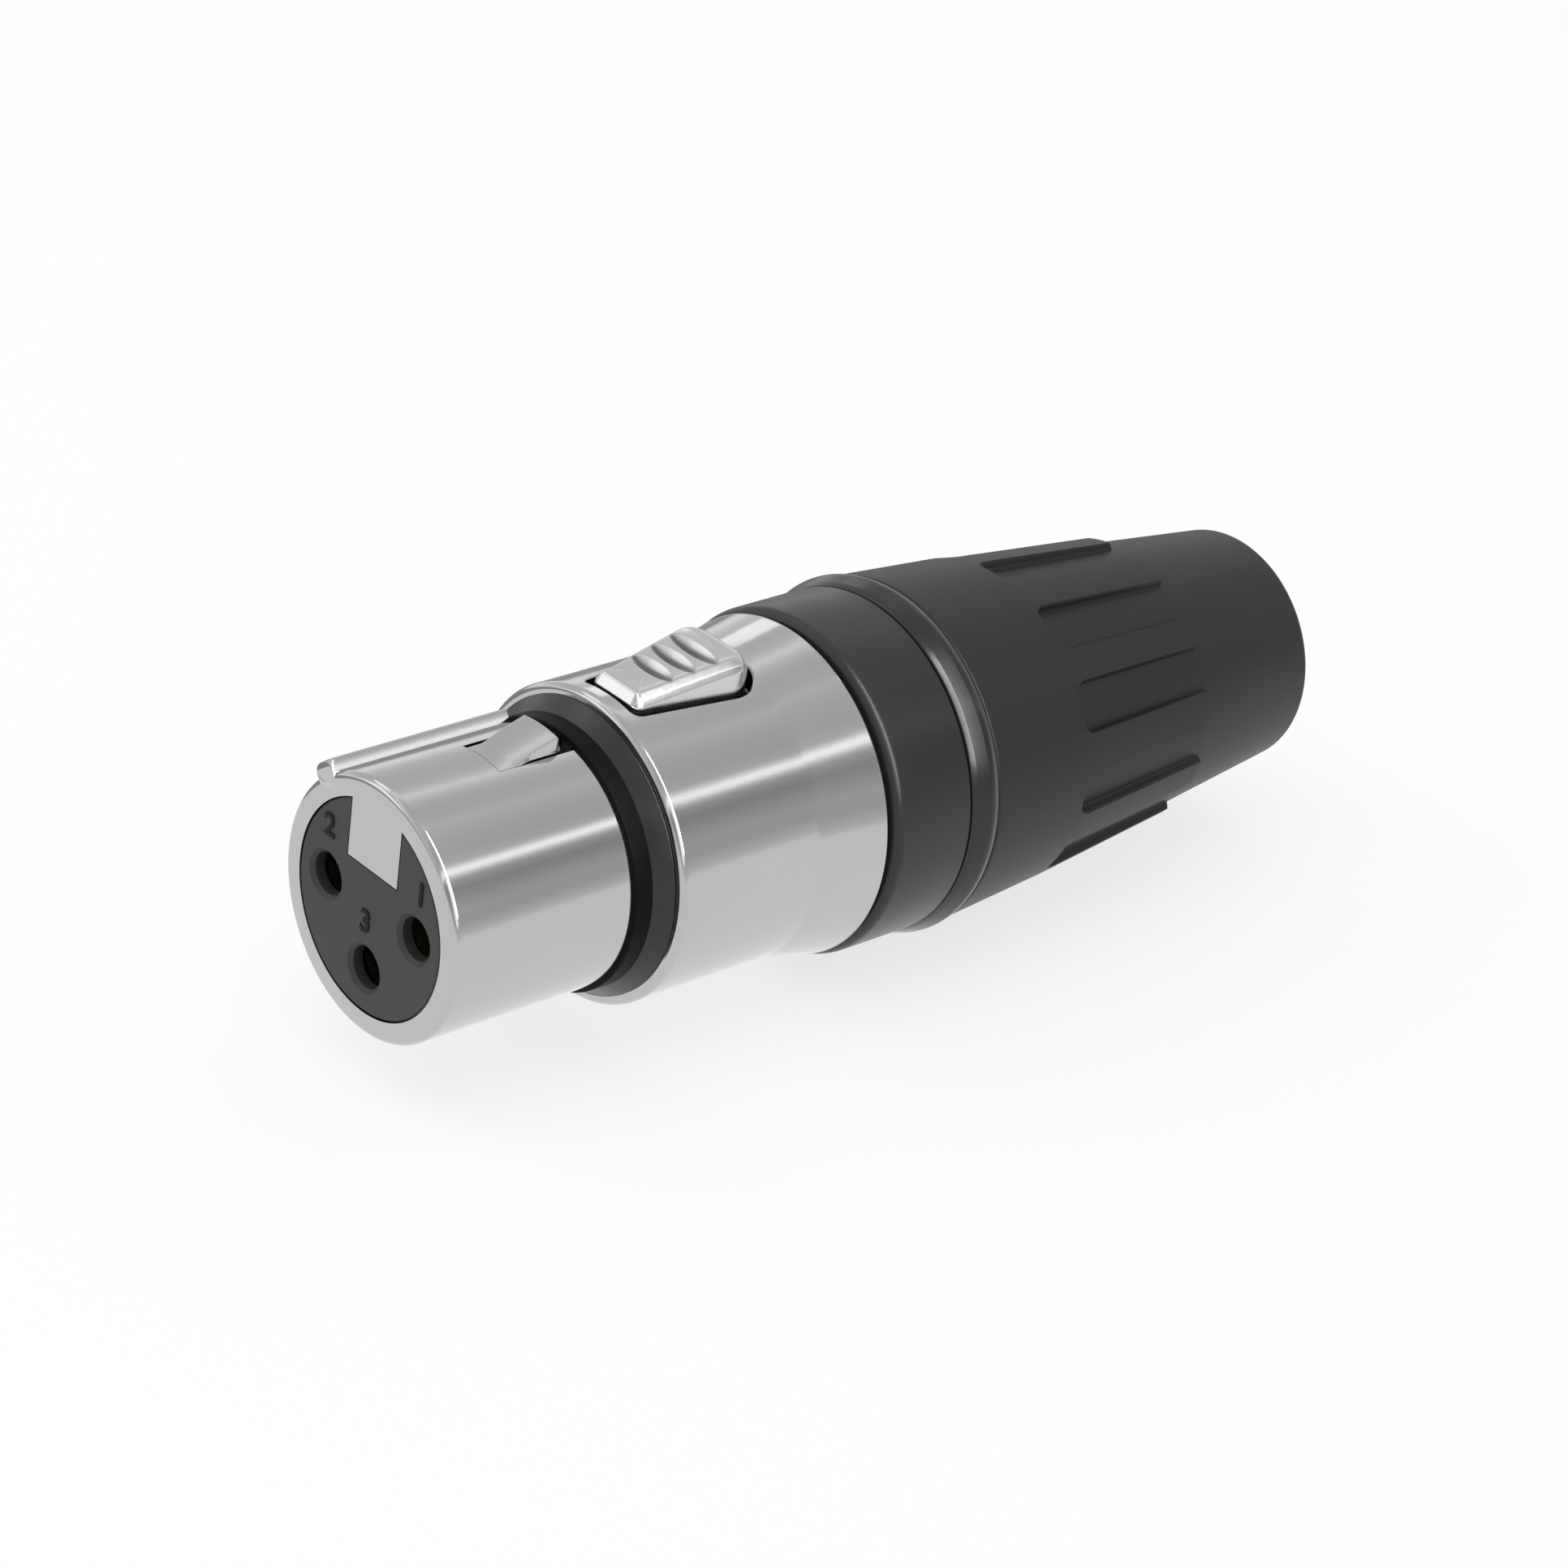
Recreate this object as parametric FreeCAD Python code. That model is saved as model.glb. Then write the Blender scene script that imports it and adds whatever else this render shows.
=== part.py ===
import FreeCAD, Part
import math
import os

# Female three-pole cable connector with a sprung latch and a screwed cable clamp.
# Millimetres. The origin is the centre of the mating face, on the connector's axis.
# +Y runs from the mating face to the cable end, +Z is the latch side.
# A station is a distance along the axis, and a turned outline is a list of
# (radius, station) corners. A third value rounds the corner, or chamfers it if negative.

Vec = FreeCAD.Vector
AXIS_X = Vec(1, 0, 0)
AXIS_Y = Vec(0, 1, 0)
ORIGIN = Vec(0, 0, 0)

# Shell across: barrel, body, flare and spigot
BARREL_R = 8.0
BARREL_WALL = 1.4
BARREL_EDGE_R = 0.45
BODY_STEP = 1.71
BODY_WALL = 1.31
BODY_EDGE_R = 0.42
FLARE_STEP = 0.83
FLARE_BEND_R = 1.0
RING_SEAT_WALL = 1.2
THREAD_WALL = 0.8
SPIGOT_CHAMFER = 0.3
EDGE_BREAK = 0.12

# Shell along
BARREL_LENGTH = 14.9
BODY_WEB = 1.0
BODY_LENGTH = 10.4
FLARE_LENGTH = 4.7
SPIGOT_LENGTH = 11.5

# Key ridge along the barrel
KEY_ANGLE = -38.0
KEY_WIDTH = 1.65
KEY_HEIGHT = 0.75
KEY_EDGE_R = 0.2

# Rubber ring at the shoulder
SHOULDER_RING_LENGTH = 2.3
SHOULDER_SLEEVE_WALL = 0.28
SHOULDER_BEVEL_LENGTH = 1.05
SHOULDER_RING_WALL = 1.2

# Front tab and the channel that the latch works in
TAB_HALF_WIDTH = 2.28
TAB_BOTTOM = 2.5
CHANNEL_FLOOR_WALL = 0.8
CHANNEL_FRONT = 7.1
SLOT_MARGIN = 1.95
INSERT_TAB_GAP = 0.08

# Latch lever
LATCH_HALF_WIDTH = 1.55
LATCH_SIDE_GAP = 0.17
NOSE_FRONT_GAP = 0.1
NOSE_FLAT = 1.0
NOSE_LENGTH = 4.15
NOSE_HEIGHT = 0.97
NOSE_UNDERCUT = 0.25
ARM_CLEARANCE = 1.7
ARM_THICKNESS = 1.2
ARM_CORNER_R = 0.3
PIN_SETBACK = 2.7
PIN_DROP = 1.5
PIN_R = 0.6
PIN_LENGTH = 8.0
PIN_GAP = 0.05
EYE_WALL = 0.55
EAR_GAP = 0.2
EAR_HALF_LENGTH = 1.1
EAR_BOTTOM_WALL = 0.5

# Push button and its window
WINDOW_SETBACK = 1.25
WINDOW_LENGTH = 9.55
WINDOW_FRONT_HALF = 2.49
WINDOW_REAR_HALF = 3.43
WINDOW_REAR_CORNER_R = 2.35
WINDOW_FRONT_CORNER_R = 0.6
BUTTON_FRONT_GAP = 0.3
BUTTON_REAR_GAP = 0.6
BUTTON_SIDE_GAP = 0.45
BUTTON_FRONT_RISE = 0.5
BUTTON_FRONT_BEVEL = 0.4
BUTTON_FRONT_DROP = 0.6
BUTTON_CREST_SETBACK = 7.45
BUTTON_CREST_RISE = 1.56
BUTTON_REAR_RISE = 1.0
BUTTON_CREST_R = 1.6
BUTTON_SHOULDER_R = 0.5
BUTTON_REAR_EDGE_R = 0.3
SCALLOP_COUNT = 3
SCALLOP_PITCH = 1.53
SCALLOP_SETBACK = 3.1
SCALLOP_R = 1.05
SCALLOP_DEPTH = 0.2
SCALLOP_MARGIN = 0.64
SKIRT_OVERLAP = 0.35
SKIRT_DROP = 1.1
SKIRT_THICKNESS = 0.9
SKIRT_SWING = 1.1

# Leaf spring under the lever
SPRING_WIDTH = 2.4
SPRING_THICKNESS = 0.2
SPRING_FOOT = 2.0
SPRING_MARGIN = 0.5

# Insert and contacts
INSERT_GAP = 0.05
INSERT_FLANGE_GAP = 0.1
INSERT_FLANGE_LENGTH = 2.8
FLANGE_NOTCH_GAP = 0.35
PIN_CIRCLE_X = 4.13
PIN_CIRCLE_Z = 0.2
PIN_THREE_Z = -3.85
LEAD_IN_GAP = 0.09
LEAD_IN_LENGTH = 0.9
LEAD_IN_CHAMFER = 0.25
CAVITY_GAP = 0.12
SOCKET_BORE_R = 1.21
SOCKET_WALL = 0.39
SOCKET_DEPTH = 10.0
SOCKET_FRONT = 1.1
FIRST_MATE_LEAD = 0.1
SOCKET_SLIT = 0.3
SOCKET_SLIT_LENGTH = 7.0
CONTACT_RING_STEP = 0.4
CONTACT_RING_LENGTH = 1.2
CONTACT_RING_GAP = 0.03
CUP_WALL = 0.4
CUP_BORE_R = 1.0
CUP_DEPTH = 3.8
CUP_REACH = 6.65
CUP_MOUTH_LENGTH = 3.0
CUP_MOUTH_HEIGHT = 0.4
CAP_MARGIN = 2.0
CAP_THICKNESS = 1.2
CAP_TOP_MARGIN = 0.4

# Ground ring
GROUND_RING_THICKNESS = 0.25
GROUND_RING_EDGE_GAP = 0.15
GROUND_TAG_ANGLE = 128.0
GROUND_TAG_WIDTH = 2.0
GROUND_TAG_REACH = 4.55
GROUND_TAG_HOLE_R = 0.5
GROUND_TAG_GAP = 0.12

# Coding ring
CODING_RING_STEP = 0.28
CODING_RING_LENGTH = 6.3
CODING_RING_GAP = 0.1
CODING_EDGE_R = 0.9
SEAT_GAP = 0.05

# Bushing
THREAD_GAP = 0.08
LIP_STEP = 0.51
LIP_BEVEL = 1.1
LIP_LENGTH = 1.95
LIP_REAR_DROP = 0.17
LIP_BEVEL_R = 0.9
CORE_FRONT_WALL = 0.42
CORE_REAR_WALL = 1.7
CORE_MARGIN = 2.0

# Chuck
CHUCK_GAP = 0.15
CHUCK_WALL = 1.05
CHUCK_FRONT_GAP = 0.1
CHUCK_TUBE_MARGIN = 1.0
CHUCK_SHOULDER = 2.1
CHUCK_TAPER_GAP = 0.3
CHUCK_TROUGH_DROP = 4.4
CHUCK_TROUGH_MARGIN = 3.0
JAW_BORE_R = 3.5
JAW_WALL = 1.8
JAW_SETBACK = 2.4
JAW_LENGTH = 12.8
JAW_SLIT = 1.2
JAW_COUNT = 4
JAW_CHAMFER = 0.4

# Boot
BOOT_FRONT_STEP = 0.15
BOOT_BEND_SETBACK = 8.85
BOOT_BEND_DROP = 0.6
BOOT_SOFTNESS = 50.0
LAND_LENGTH = 11.2
LAND_DROP = 1.13
LAND_STEP = 0.46
TAIL_LENGTH = 10.95
TAIL_DROP = 1.21
TAIL_EDGE_R = 0.55
TAIL_HOLE_GAP = 0.3
TAIL_HOLE_LENGTH = 5.5
TAIL_HOLE_CHAMFER = 0.4
BOOT_INNER_STEP = 1.2
GROOVE_COUNT = 12
GROOVE_ANGLE = 17.2
GROOVE_SETBACK = 8.15
GROOVE_DEPTH = 0.62
GROOVE_END_R = 0.6

# Room for cuts to run past a face, and for fused forms to run into each other
OVERCUT = 1.0
WELD = 0.2

# Radii that follow from the sizes above
BARREL_BORE_R = BARREL_R - BARREL_WALL
KEY_TOP_R = BARREL_R + KEY_HEIGHT
BODY_R = BARREL_R + BODY_STEP
BODY_BORE_R = BODY_R - BODY_WALL
FLARE_R = BODY_R + FLARE_STEP
RING_SEAT_R = BODY_BORE_R + RING_SEAT_WALL
THREAD_R = BODY_BORE_R + THREAD_WALL
SHOULDER_RING_R = BARREL_R + SHOULDER_RING_WALL
INSERT_R = BARREL_BORE_R - INSERT_GAP
INSERT_FLANGE_R = BODY_BORE_R - INSERT_FLANGE_GAP
CAP_R = INSERT_FLANGE_R - CAP_MARGIN
SOCKET_OUTER_R = SOCKET_BORE_R + SOCKET_WALL
LEAD_IN_R = SOCKET_BORE_R + LEAD_IN_GAP
CONTACT_RING_R = SOCKET_OUTER_R + CONTACT_RING_STEP
CUP_R = CUP_BORE_R + CUP_WALL
CODING_RING_R = FLARE_R + CODING_RING_STEP
LIP_R = CODING_RING_R + LIP_STEP
LIP_REAR_R = LIP_R - LIP_REAR_DROP
CHUCK_R = BODY_BORE_R - CHUCK_GAP
TAPER_FRONT_R = CHUCK_R + EDGE_BREAK
TAPER_REAR_R = JAW_BORE_R + JAW_WALL + CHUCK_TAPER_GAP
CORE_FRONT_R = THREAD_R + THREAD_GAP + CORE_FRONT_WALL
CORE_REAR_R = TAPER_REAR_R + CORE_REAR_WALL
BOOT_FRONT_R = LIP_REAR_R - BOOT_FRONT_STEP
BOOT_BEND_R = BOOT_FRONT_R - BOOT_BEND_DROP
LAND_END_R = BOOT_BEND_R - LAND_DROP
TAIL_FRONT_R = LAND_END_R - LAND_STEP
TAIL_REAR_R = TAIL_FRONT_R - TAIL_DROP
TAIL_HOLE_R = JAW_BORE_R + TAIL_HOLE_GAP

# Stations that follow from the sizes above
BODY_FRONT = BARREL_LENGTH
SHOULDER_RING_FRONT = BODY_FRONT - SHOULDER_RING_LENGTH
WEB_END = BODY_FRONT + BODY_WEB
FLARE_START = BODY_FRONT + BODY_LENGTH
FLARE_END = FLARE_START + FLARE_LENGTH
SPIGOT_END = FLARE_END + SPIGOT_LENGTH
SLOT_REAR = BODY_FRONT - SLOT_MARGIN
NOSE_FRONT = CHANNEL_FRONT + NOSE_FRONT_GAP
NOSE_REAR = NOSE_FRONT + NOSE_LENGTH
PIN_STATION = FLARE_END - PIN_SETBACK
WINDOW_FRONT = BODY_FRONT + WINDOW_SETBACK
WINDOW_REAR = WINDOW_FRONT + WINDOW_LENGTH
BUTTON_FRONT = WINDOW_FRONT + BUTTON_FRONT_GAP
BUTTON_REAR = WINDOW_REAR - BUTTON_REAR_GAP
BUTTON_CREST = WINDOW_FRONT + BUTTON_CREST_SETBACK
SPRING_TIP = BODY_FRONT - SPRING_MARGIN
FLANGE_FRONT = WEB_END + GROUND_RING_THICKNESS
FLANGE_END = FLANGE_FRONT + INSERT_FLANGE_LENGTH
CAP_END = FLANGE_END + CAP_THICKNESS
CONTACT_RING_FRONT = FLANGE_END - CONTACT_RING_LENGTH
CUP_END = FLANGE_END + CUP_REACH
CUP_FRONT = CUP_END - CUP_DEPTH
GROUND_TAG_END = FLANGE_END + GROUND_TAG_REACH
CODING_RING_FRONT = FLARE_END + CODING_RING_GAP
CODING_RING_END = CODING_RING_FRONT + CODING_RING_LENGTH
LIP_FRONT = CODING_RING_END + CODING_RING_GAP
LIP_END = LIP_FRONT + LIP_LENGTH
CHUCK_FRONT = FLANGE_END + CHUCK_FRONT_GAP
CHUCK_TUBE_END = SPIGOT_END - CHUCK_TUBE_MARGIN
TAPER_FRONT = CHUCK_TUBE_END + CHUCK_SHOULDER
NUT_END = SPIGOT_END + CHUCK_TAPER_GAP
JAW_START = TAPER_FRONT + JAW_SETBACK
JAW_END = JAW_START + JAW_LENGTH
CORE_END = JAW_END + CORE_MARGIN
BOOT_BEND = LIP_END + BOOT_BEND_SETBACK
GROOVE_FRONT = LIP_END + GROOVE_SETBACK
LAND_END = BOOT_BEND + LAND_LENGTH
BOOT_END = LAND_END + TAIL_LENGTH

# Heights that follow from the sizes above
CHANNEL_FLOOR = TAB_BOTTOM + CHANNEL_FLOOR_WALL
ARM_BOTTOM = CHANNEL_FLOOR + ARM_CLEARANCE
ARM_TOP = ARM_BOTTOM + ARM_THICKNESS
NOSE_TOP_R = BARREL_R + NOSE_HEIGHT
PIN_HEIGHT = BODY_BORE_R - PIN_DROP
EYE_R = PIN_R + PIN_GAP + EYE_WALL
BUTTON_FRONT_TOP = BODY_R + BUTTON_FRONT_RISE
BUTTON_CREST_TOP = BODY_R + BUTTON_CREST_RISE
BUTTON_REAR_TOP = BODY_R + BUTTON_REAR_RISE
SKIRT_TOP = BODY_BORE_R - SKIRT_DROP
SKIRT_BOTTOM = SKIRT_TOP - SKIRT_THICKNESS
FLANGE_NOTCH_BOTTOM = SKIRT_BOTTOM - SKIRT_SWING
CAP_TOP = FLANGE_NOTCH_BOTTOM - CAP_TOP_MARGIN
CHUCK_TROUGH_TOP = CAP_TOP - CHUCK_TROUGH_DROP
CHUCK_TROUGH_END = PIN_STATION + EYE_R + CHUCK_TROUGH_MARGIN

# Half widths that follow from the sizes above
SLOT_HALF_WIDTH = LATCH_HALF_WIDTH + LATCH_SIDE_GAP
NOTCH_HALF_WIDTH = TAB_HALF_WIDTH + INSERT_TAB_GAP
SKIRT_ROOM_HALF = WINDOW_REAR_HALF + SKIRT_OVERLAP + FLANGE_NOTCH_GAP


def rounded_wire(corners, place):
    """A closed wire through (u, v) corners: a third value is an arc's radius, or a chamfer if negative."""
    count = len(corners)
    starts = []
    ends = []
    middles = []
    for index in range(count):
        here = corners[index]
        before = corners[index - 1]
        after = corners[(index + 1) % count]
        corner = Vec(here[0], here[1], 0)
        radius = here[2] if len(here) > 2 else 0.0
        to_before = (Vec(before[0], before[1], 0) - corner).normalize()
        to_after = (Vec(after[0], after[1], 0) - corner).normalize()
        half = to_before.getAngle(to_after) / 2
        setback = radius / math.tan(half) if radius > 0 else -radius
        starts.append(corner + to_before * setback)
        ends.append(corner + to_after * setback)
        bisector = (to_before + to_after).normalize()
        middles.append(corner + bisector * (radius / math.sin(half) - radius) if radius > 0 else None)
    edges = []
    for index in range(count):
        following = (index + 1) % count
        if middles[index] is not None:
            arc = Part.Arc(place(starts[index]), place(middles[index]), place(ends[index]))
            edges.append(arc.toShape())
        elif starts[index].distanceToPoint(ends[index]) > 1e-7:
            edges.append(Part.LineSegment(place(starts[index]), place(ends[index])).toShape())
        if ends[index].distanceToPoint(starts[following]) > 1e-7:
            edges.append(Part.LineSegment(place(ends[index]), place(starts[following])).toShape())
    return Part.Wire(edges)


def turned(corners, angle=360.0, start=0.0):
    """A solid of revolution about the axis, from corners (radius, station)."""
    face = Part.Face(rounded_wire(corners, lambda p: Vec(0, p.y, p.x)))
    face.rotate(ORIGIN, AXIS_Y, start)
    return face.revolve(ORIGIN, AXIS_Y, angle)


def side_plate(corners, half_width):
    """A plate cut from a side outline of (station, height) corners, centred across the connector."""
    face = Part.Face(rounded_wire(corners, lambda p: Vec(-half_width, p.x, p.y)))
    return face.extrude(Vec(2 * half_width, 0, 0))


def plan_block(corners, bottom, top):
    """A block cut from a plan outline of (x, station) corners, between two heights."""
    face = Part.Face(rounded_wire(corners, lambda p: Vec(p.x, p.y, bottom)))
    return face.extrude(Vec(0, 0, top - bottom))


def block(half_width, front, end, bottom, top):
    """A box centred across the connector, between two stations and two heights."""
    return Part.makeBox(2 * half_width, end - front, top - bottom, Vec(-half_width, front, bottom))


def rod(radius, front, end, x=0.0, z=0.0):
    """A round bar along the axis's direction."""
    return Part.makeCylinder(radius, end - front, Vec(x, front, z), AXIS_Y)


def cross_rod(radius, half_length):
    """A round bar across the connector, on the latch pin's centre."""
    start = Vec(-half_length, PIN_STATION, PIN_HEIGHT)
    return Part.makeCylinder(radius, 2 * half_length, start, AXIS_X)


def contact_places():
    """The three contact centres in the mating face, by number."""
    return {1: (PIN_CIRCLE_X, PIN_CIRCLE_Z), 2: (-PIN_CIRCLE_X, PIN_CIRCLE_Z), 3: (0.0, PIN_THREE_Z)}


def socket_front(number):
    """The earth contact starts first, so that it mates first."""
    return SOCKET_FRONT - (FIRST_MATE_LEAD if number == 1 else 0.0)


def window_half_width(station):
    """The window is narrow in front and widens evenly to the rear."""
    share = (station - WINDOW_FRONT) / WINDOW_LENGTH
    return WINDOW_FRONT_HALF + (WINDOW_REAR_HALF - WINDOW_FRONT_HALF) * share


def window_outline():
    """The button window's plan."""
    return [
        (-WINDOW_FRONT_HALF, WINDOW_FRONT, WINDOW_FRONT_CORNER_R),
        (WINDOW_FRONT_HALF, WINDOW_FRONT, WINDOW_FRONT_CORNER_R),
        (WINDOW_REAR_HALF, WINDOW_REAR, WINDOW_REAR_CORNER_R),
        (-WINDOW_REAR_HALF, WINDOW_REAR, WINDOW_REAR_CORNER_R),
    ]


def button_outline(gap_side):
    """The push button's plan: the window's, drawn in by its gaps."""
    front_half = WINDOW_FRONT_HALF - gap_side
    rear_half = WINDOW_REAR_HALF - gap_side
    return [
        (-front_half, BUTTON_FRONT, WINDOW_FRONT_CORNER_R),
        (front_half, BUTTON_FRONT, WINDOW_FRONT_CORNER_R),
        (rear_half, BUTTON_REAR, WINDOW_REAR_CORNER_R - gap_side),
        (-rear_half, BUTTON_REAR, WINDOW_REAR_CORNER_R - gap_side),
    ]


def is_key_top_edge(edge):
    """True for the key's two long edges at the top."""
    middle = edge.CenterOfMass
    return abs(middle.z - KEY_TOP_R) < 1e-6 and abs(middle.x) > WELD


def make_shell():
    """The die-cast housing: turned forms, then the key, tab, channel, window and ears."""
    spigot = [
        (BARREL_BORE_R, 0),
        (BARREL_R, 0, BARREL_EDGE_R),
        (BARREL_R, BODY_FRONT),
        (BODY_R, BODY_FRONT, BODY_EDGE_R),
        (BODY_R, FLARE_START, FLARE_BEND_R),
        (FLARE_R, FLARE_END),
        (RING_SEAT_R, FLARE_END),
        (RING_SEAT_R, CODING_RING_END),
        (THREAD_R, CODING_RING_END),
        (THREAD_R, SPIGOT_END - SPIGOT_CHAMFER),
        (THREAD_R - SPIGOT_CHAMFER, SPIGOT_END),
        (BODY_BORE_R, SPIGOT_END),
        (BODY_BORE_R, WEB_END),
        (BARREL_BORE_R, WEB_END),
    ]
    shell = turned(spigot)
    key = block(KEY_WIDTH / 2, 0, SHOULDER_RING_FRONT, BARREL_R - WELD, KEY_TOP_R)
    top_edges = [edge for edge in key.Edges if is_key_top_edge(edge)]
    key = key.makeFillet(KEY_EDGE_R, top_edges)
    key.rotate(ORIGIN, AXIS_Y, KEY_ANGLE)
    tab = block(TAB_HALF_WIDTH, 0, WEB_END, TAB_BOTTOM, BARREL_R)
    tab = tab.common(rod(BARREL_BORE_R + WELD, 0, WEB_END))
    shell = shell.fuse([key, tab])
    channel = block(SLOT_HALF_WIDTH, CHANNEL_FRONT, WEB_END + OVERCUT, CHANNEL_FLOOR, BARREL_BORE_R - WELD)
    slot = block(SLOT_HALF_WIDTH, CHANNEL_FRONT, SLOT_REAR, CHANNEL_FLOOR, KEY_TOP_R + OVERCUT)
    window = plan_block(window_outline(), BODY_BORE_R - OVERCUT, FLARE_R + OVERCUT)
    shell = shell.cut([channel.fuse(slot), window])
    ear_bottom = PIN_HEIGHT - PIN_R - EAR_BOTTOM_WALL
    ear_front = PIN_STATION - EAR_HALF_LENGTH
    ear_end = PIN_STATION + EAR_HALF_LENGTH
    gap_half = LATCH_HALF_WIDTH + EAR_GAP
    ears = block(PIN_LENGTH / 2 + WELD, ear_front, ear_end, ear_bottom, BODY_R)
    ears = ears.common(rod(BODY_BORE_R + WELD, ear_front, ear_end))
    ears = ears.cut(block(gap_half, 0, SPIGOT_END, 0, math.sqrt(BODY_BORE_R**2 - gap_half**2)))
    shell = shell.fuse(ears)
    return shell.cut(cross_rod(PIN_R, PIN_LENGTH / 2)).removeSplitter()


def make_shoulder_ring():
    """A sleeve on the barrel that opens into a bevel against the body's front."""
    sleeve_r = BARREL_R + SHOULDER_SLEEVE_WALL
    return turned([
        (BARREL_R, SHOULDER_RING_FRONT),
        (sleeve_r, SHOULDER_RING_FRONT, -EDGE_BREAK),
        (sleeve_r, BODY_FRONT - SHOULDER_BEVEL_LENGTH),
        (SHOULDER_RING_R, BODY_FRONT, -EDGE_BREAK),
        (BARREL_R, BODY_FRONT),
    ])


def make_latch_lever():
    """Nose, arm and eye from one side outline, with the nose's top turned to follow the barrel."""
    outline = [
        (NOSE_FRONT, ARM_BOTTOM, ARM_CORNER_R),
        (NOSE_FRONT, KEY_TOP_R),
        (NOSE_REAR, NOSE_TOP_R + OVERCUT),
        (NOSE_REAR + NOSE_UNDERCUT, BARREL_R),
        (NOSE_REAR + NOSE_UNDERCUT, ARM_TOP, ARM_CORNER_R),
        (PIN_STATION, ARM_TOP),
        (PIN_STATION, ARM_BOTTOM),
    ]
    lever = side_plate(outline, LATCH_HALF_WIDTH)
    nose_limit = turned([
        (0, 0),
        (BARREL_R, 0),
        (BARREL_R, NOSE_FRONT + NOSE_FLAT),
        (NOSE_TOP_R, NOSE_REAR),
        (NOSE_TOP_R, PIN_STATION),
        (0, PIN_STATION),
    ])
    lever = lever.common(nose_limit)
    eye = cross_rod(EYE_R, LATCH_HALF_WIDTH)
    neck = side_plate([
        (PIN_STATION - 3 * EYE_R, ARM_BOTTOM),
        (PIN_STATION, ARM_BOTTOM),
        (PIN_STATION + EYE_R, PIN_HEIGHT),
        (PIN_STATION - EYE_R, PIN_HEIGHT),
        (PIN_STATION - 3 * EYE_R, ARM_TOP),
    ], LATCH_HALF_WIDTH)
    neck = neck.common(block(LATCH_HALF_WIDTH, 0, PIN_STATION + EYE_R, ARM_BOTTOM, PIN_HEIGHT))
    lever = lever.fuse([eye, neck, make_button()])
    bore = cross_rod(PIN_R + PIN_GAP, LATCH_HALF_WIDTH + OVERCUT)
    return lever.cut(bore).removeSplitter()


def make_button():
    """The thumb pad: a tapered block with a sloping top and round shoulders, three scallops and a skirt below."""
    plan = button_outline(BUTTON_SIDE_GAP)
    over_top = BUTTON_CREST_TOP + OVERCUT
    pad = plan_block([corner[:2] for corner in plan], SKIRT_BOTTOM, over_top)
    side = side_plate([
        (BUTTON_FRONT, SKIRT_BOTTOM),
        (BUTTON_FRONT, BUTTON_FRONT_TOP - BUTTON_FRONT_DROP),
        (BUTTON_FRONT + BUTTON_FRONT_BEVEL, BUTTON_FRONT_TOP),
        (BUTTON_CREST, BUTTON_CREST_TOP, BUTTON_CREST_R),
        (BUTTON_REAR, BUTTON_REAR_TOP, BUTTON_REAR_EDGE_R),
        (BUTTON_REAR, SKIRT_BOTTOM),
    ], 2 * WINDOW_REAR_HALF)
    pad = pad.common(side)
    shoulders = [edge for edge in pad.Edges if is_button_shoulder(edge)]
    pad = pad.makeFillet(BUTTON_SHOULDER_R, shoulders).common(plan_block(plan, SKIRT_BOTTOM, over_top))
    rake = (BUTTON_CREST_TOP - BUTTON_FRONT_TOP) / (BUTTON_CREST - BUTTON_FRONT)
    for index in range(SCALLOP_COUNT):
        station = WINDOW_FRONT + SCALLOP_SETBACK + index * SCALLOP_PITCH
        top = BUTTON_FRONT_TOP + (station - BUTTON_FRONT) * rake
        reach = window_half_width(station) - BUTTON_SIDE_GAP - SCALLOP_MARGIN
        height = top + SCALLOP_R - SCALLOP_DEPTH
        end_r = math.sqrt(SCALLOP_R**2 - (SCALLOP_R - SCALLOP_DEPTH)**2)
        straight = reach - end_r
        left = Vec(-straight, station, height)
        right = Vec(straight, station, height)
        bar = Part.makeCylinder(SCALLOP_R, 2 * straight, left, AXIS_X)
        ends = [Part.makeSphere(SCALLOP_R, left), Part.makeSphere(SCALLOP_R, right)]
        pad = pad.cut(bar.fuse(ends))
    skirt = plan_block(button_outline(-SKIRT_OVERLAP), SKIRT_BOTTOM, SKIRT_TOP)
    rib = block(LATCH_HALF_WIDTH, BUTTON_FRONT, BUTTON_REAR, ARM_BOTTOM, SKIRT_BOTTOM + WELD)
    return pad.fuse([skirt, rib])


def is_button_shoulder(edge):
    """True for the edges along both sides of the button's top, from its front bevel to its rear."""
    low = min(vertex.Point.z for vertex in edge.Vertexes)
    reach = abs(edge.Vertexes[0].Point.y - edge.Vertexes[-1].Point.y)
    return low > BUTTON_FRONT_TOP - BUTTON_FRONT_DROP + WELD and reach > BUTTON_FRONT_BEVEL + WELD


def make_latch_pin():
    """A plain pin across the connector, pressed into the shell's ears."""
    return cross_rod(PIN_R, PIN_LENGTH / 2)


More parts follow.
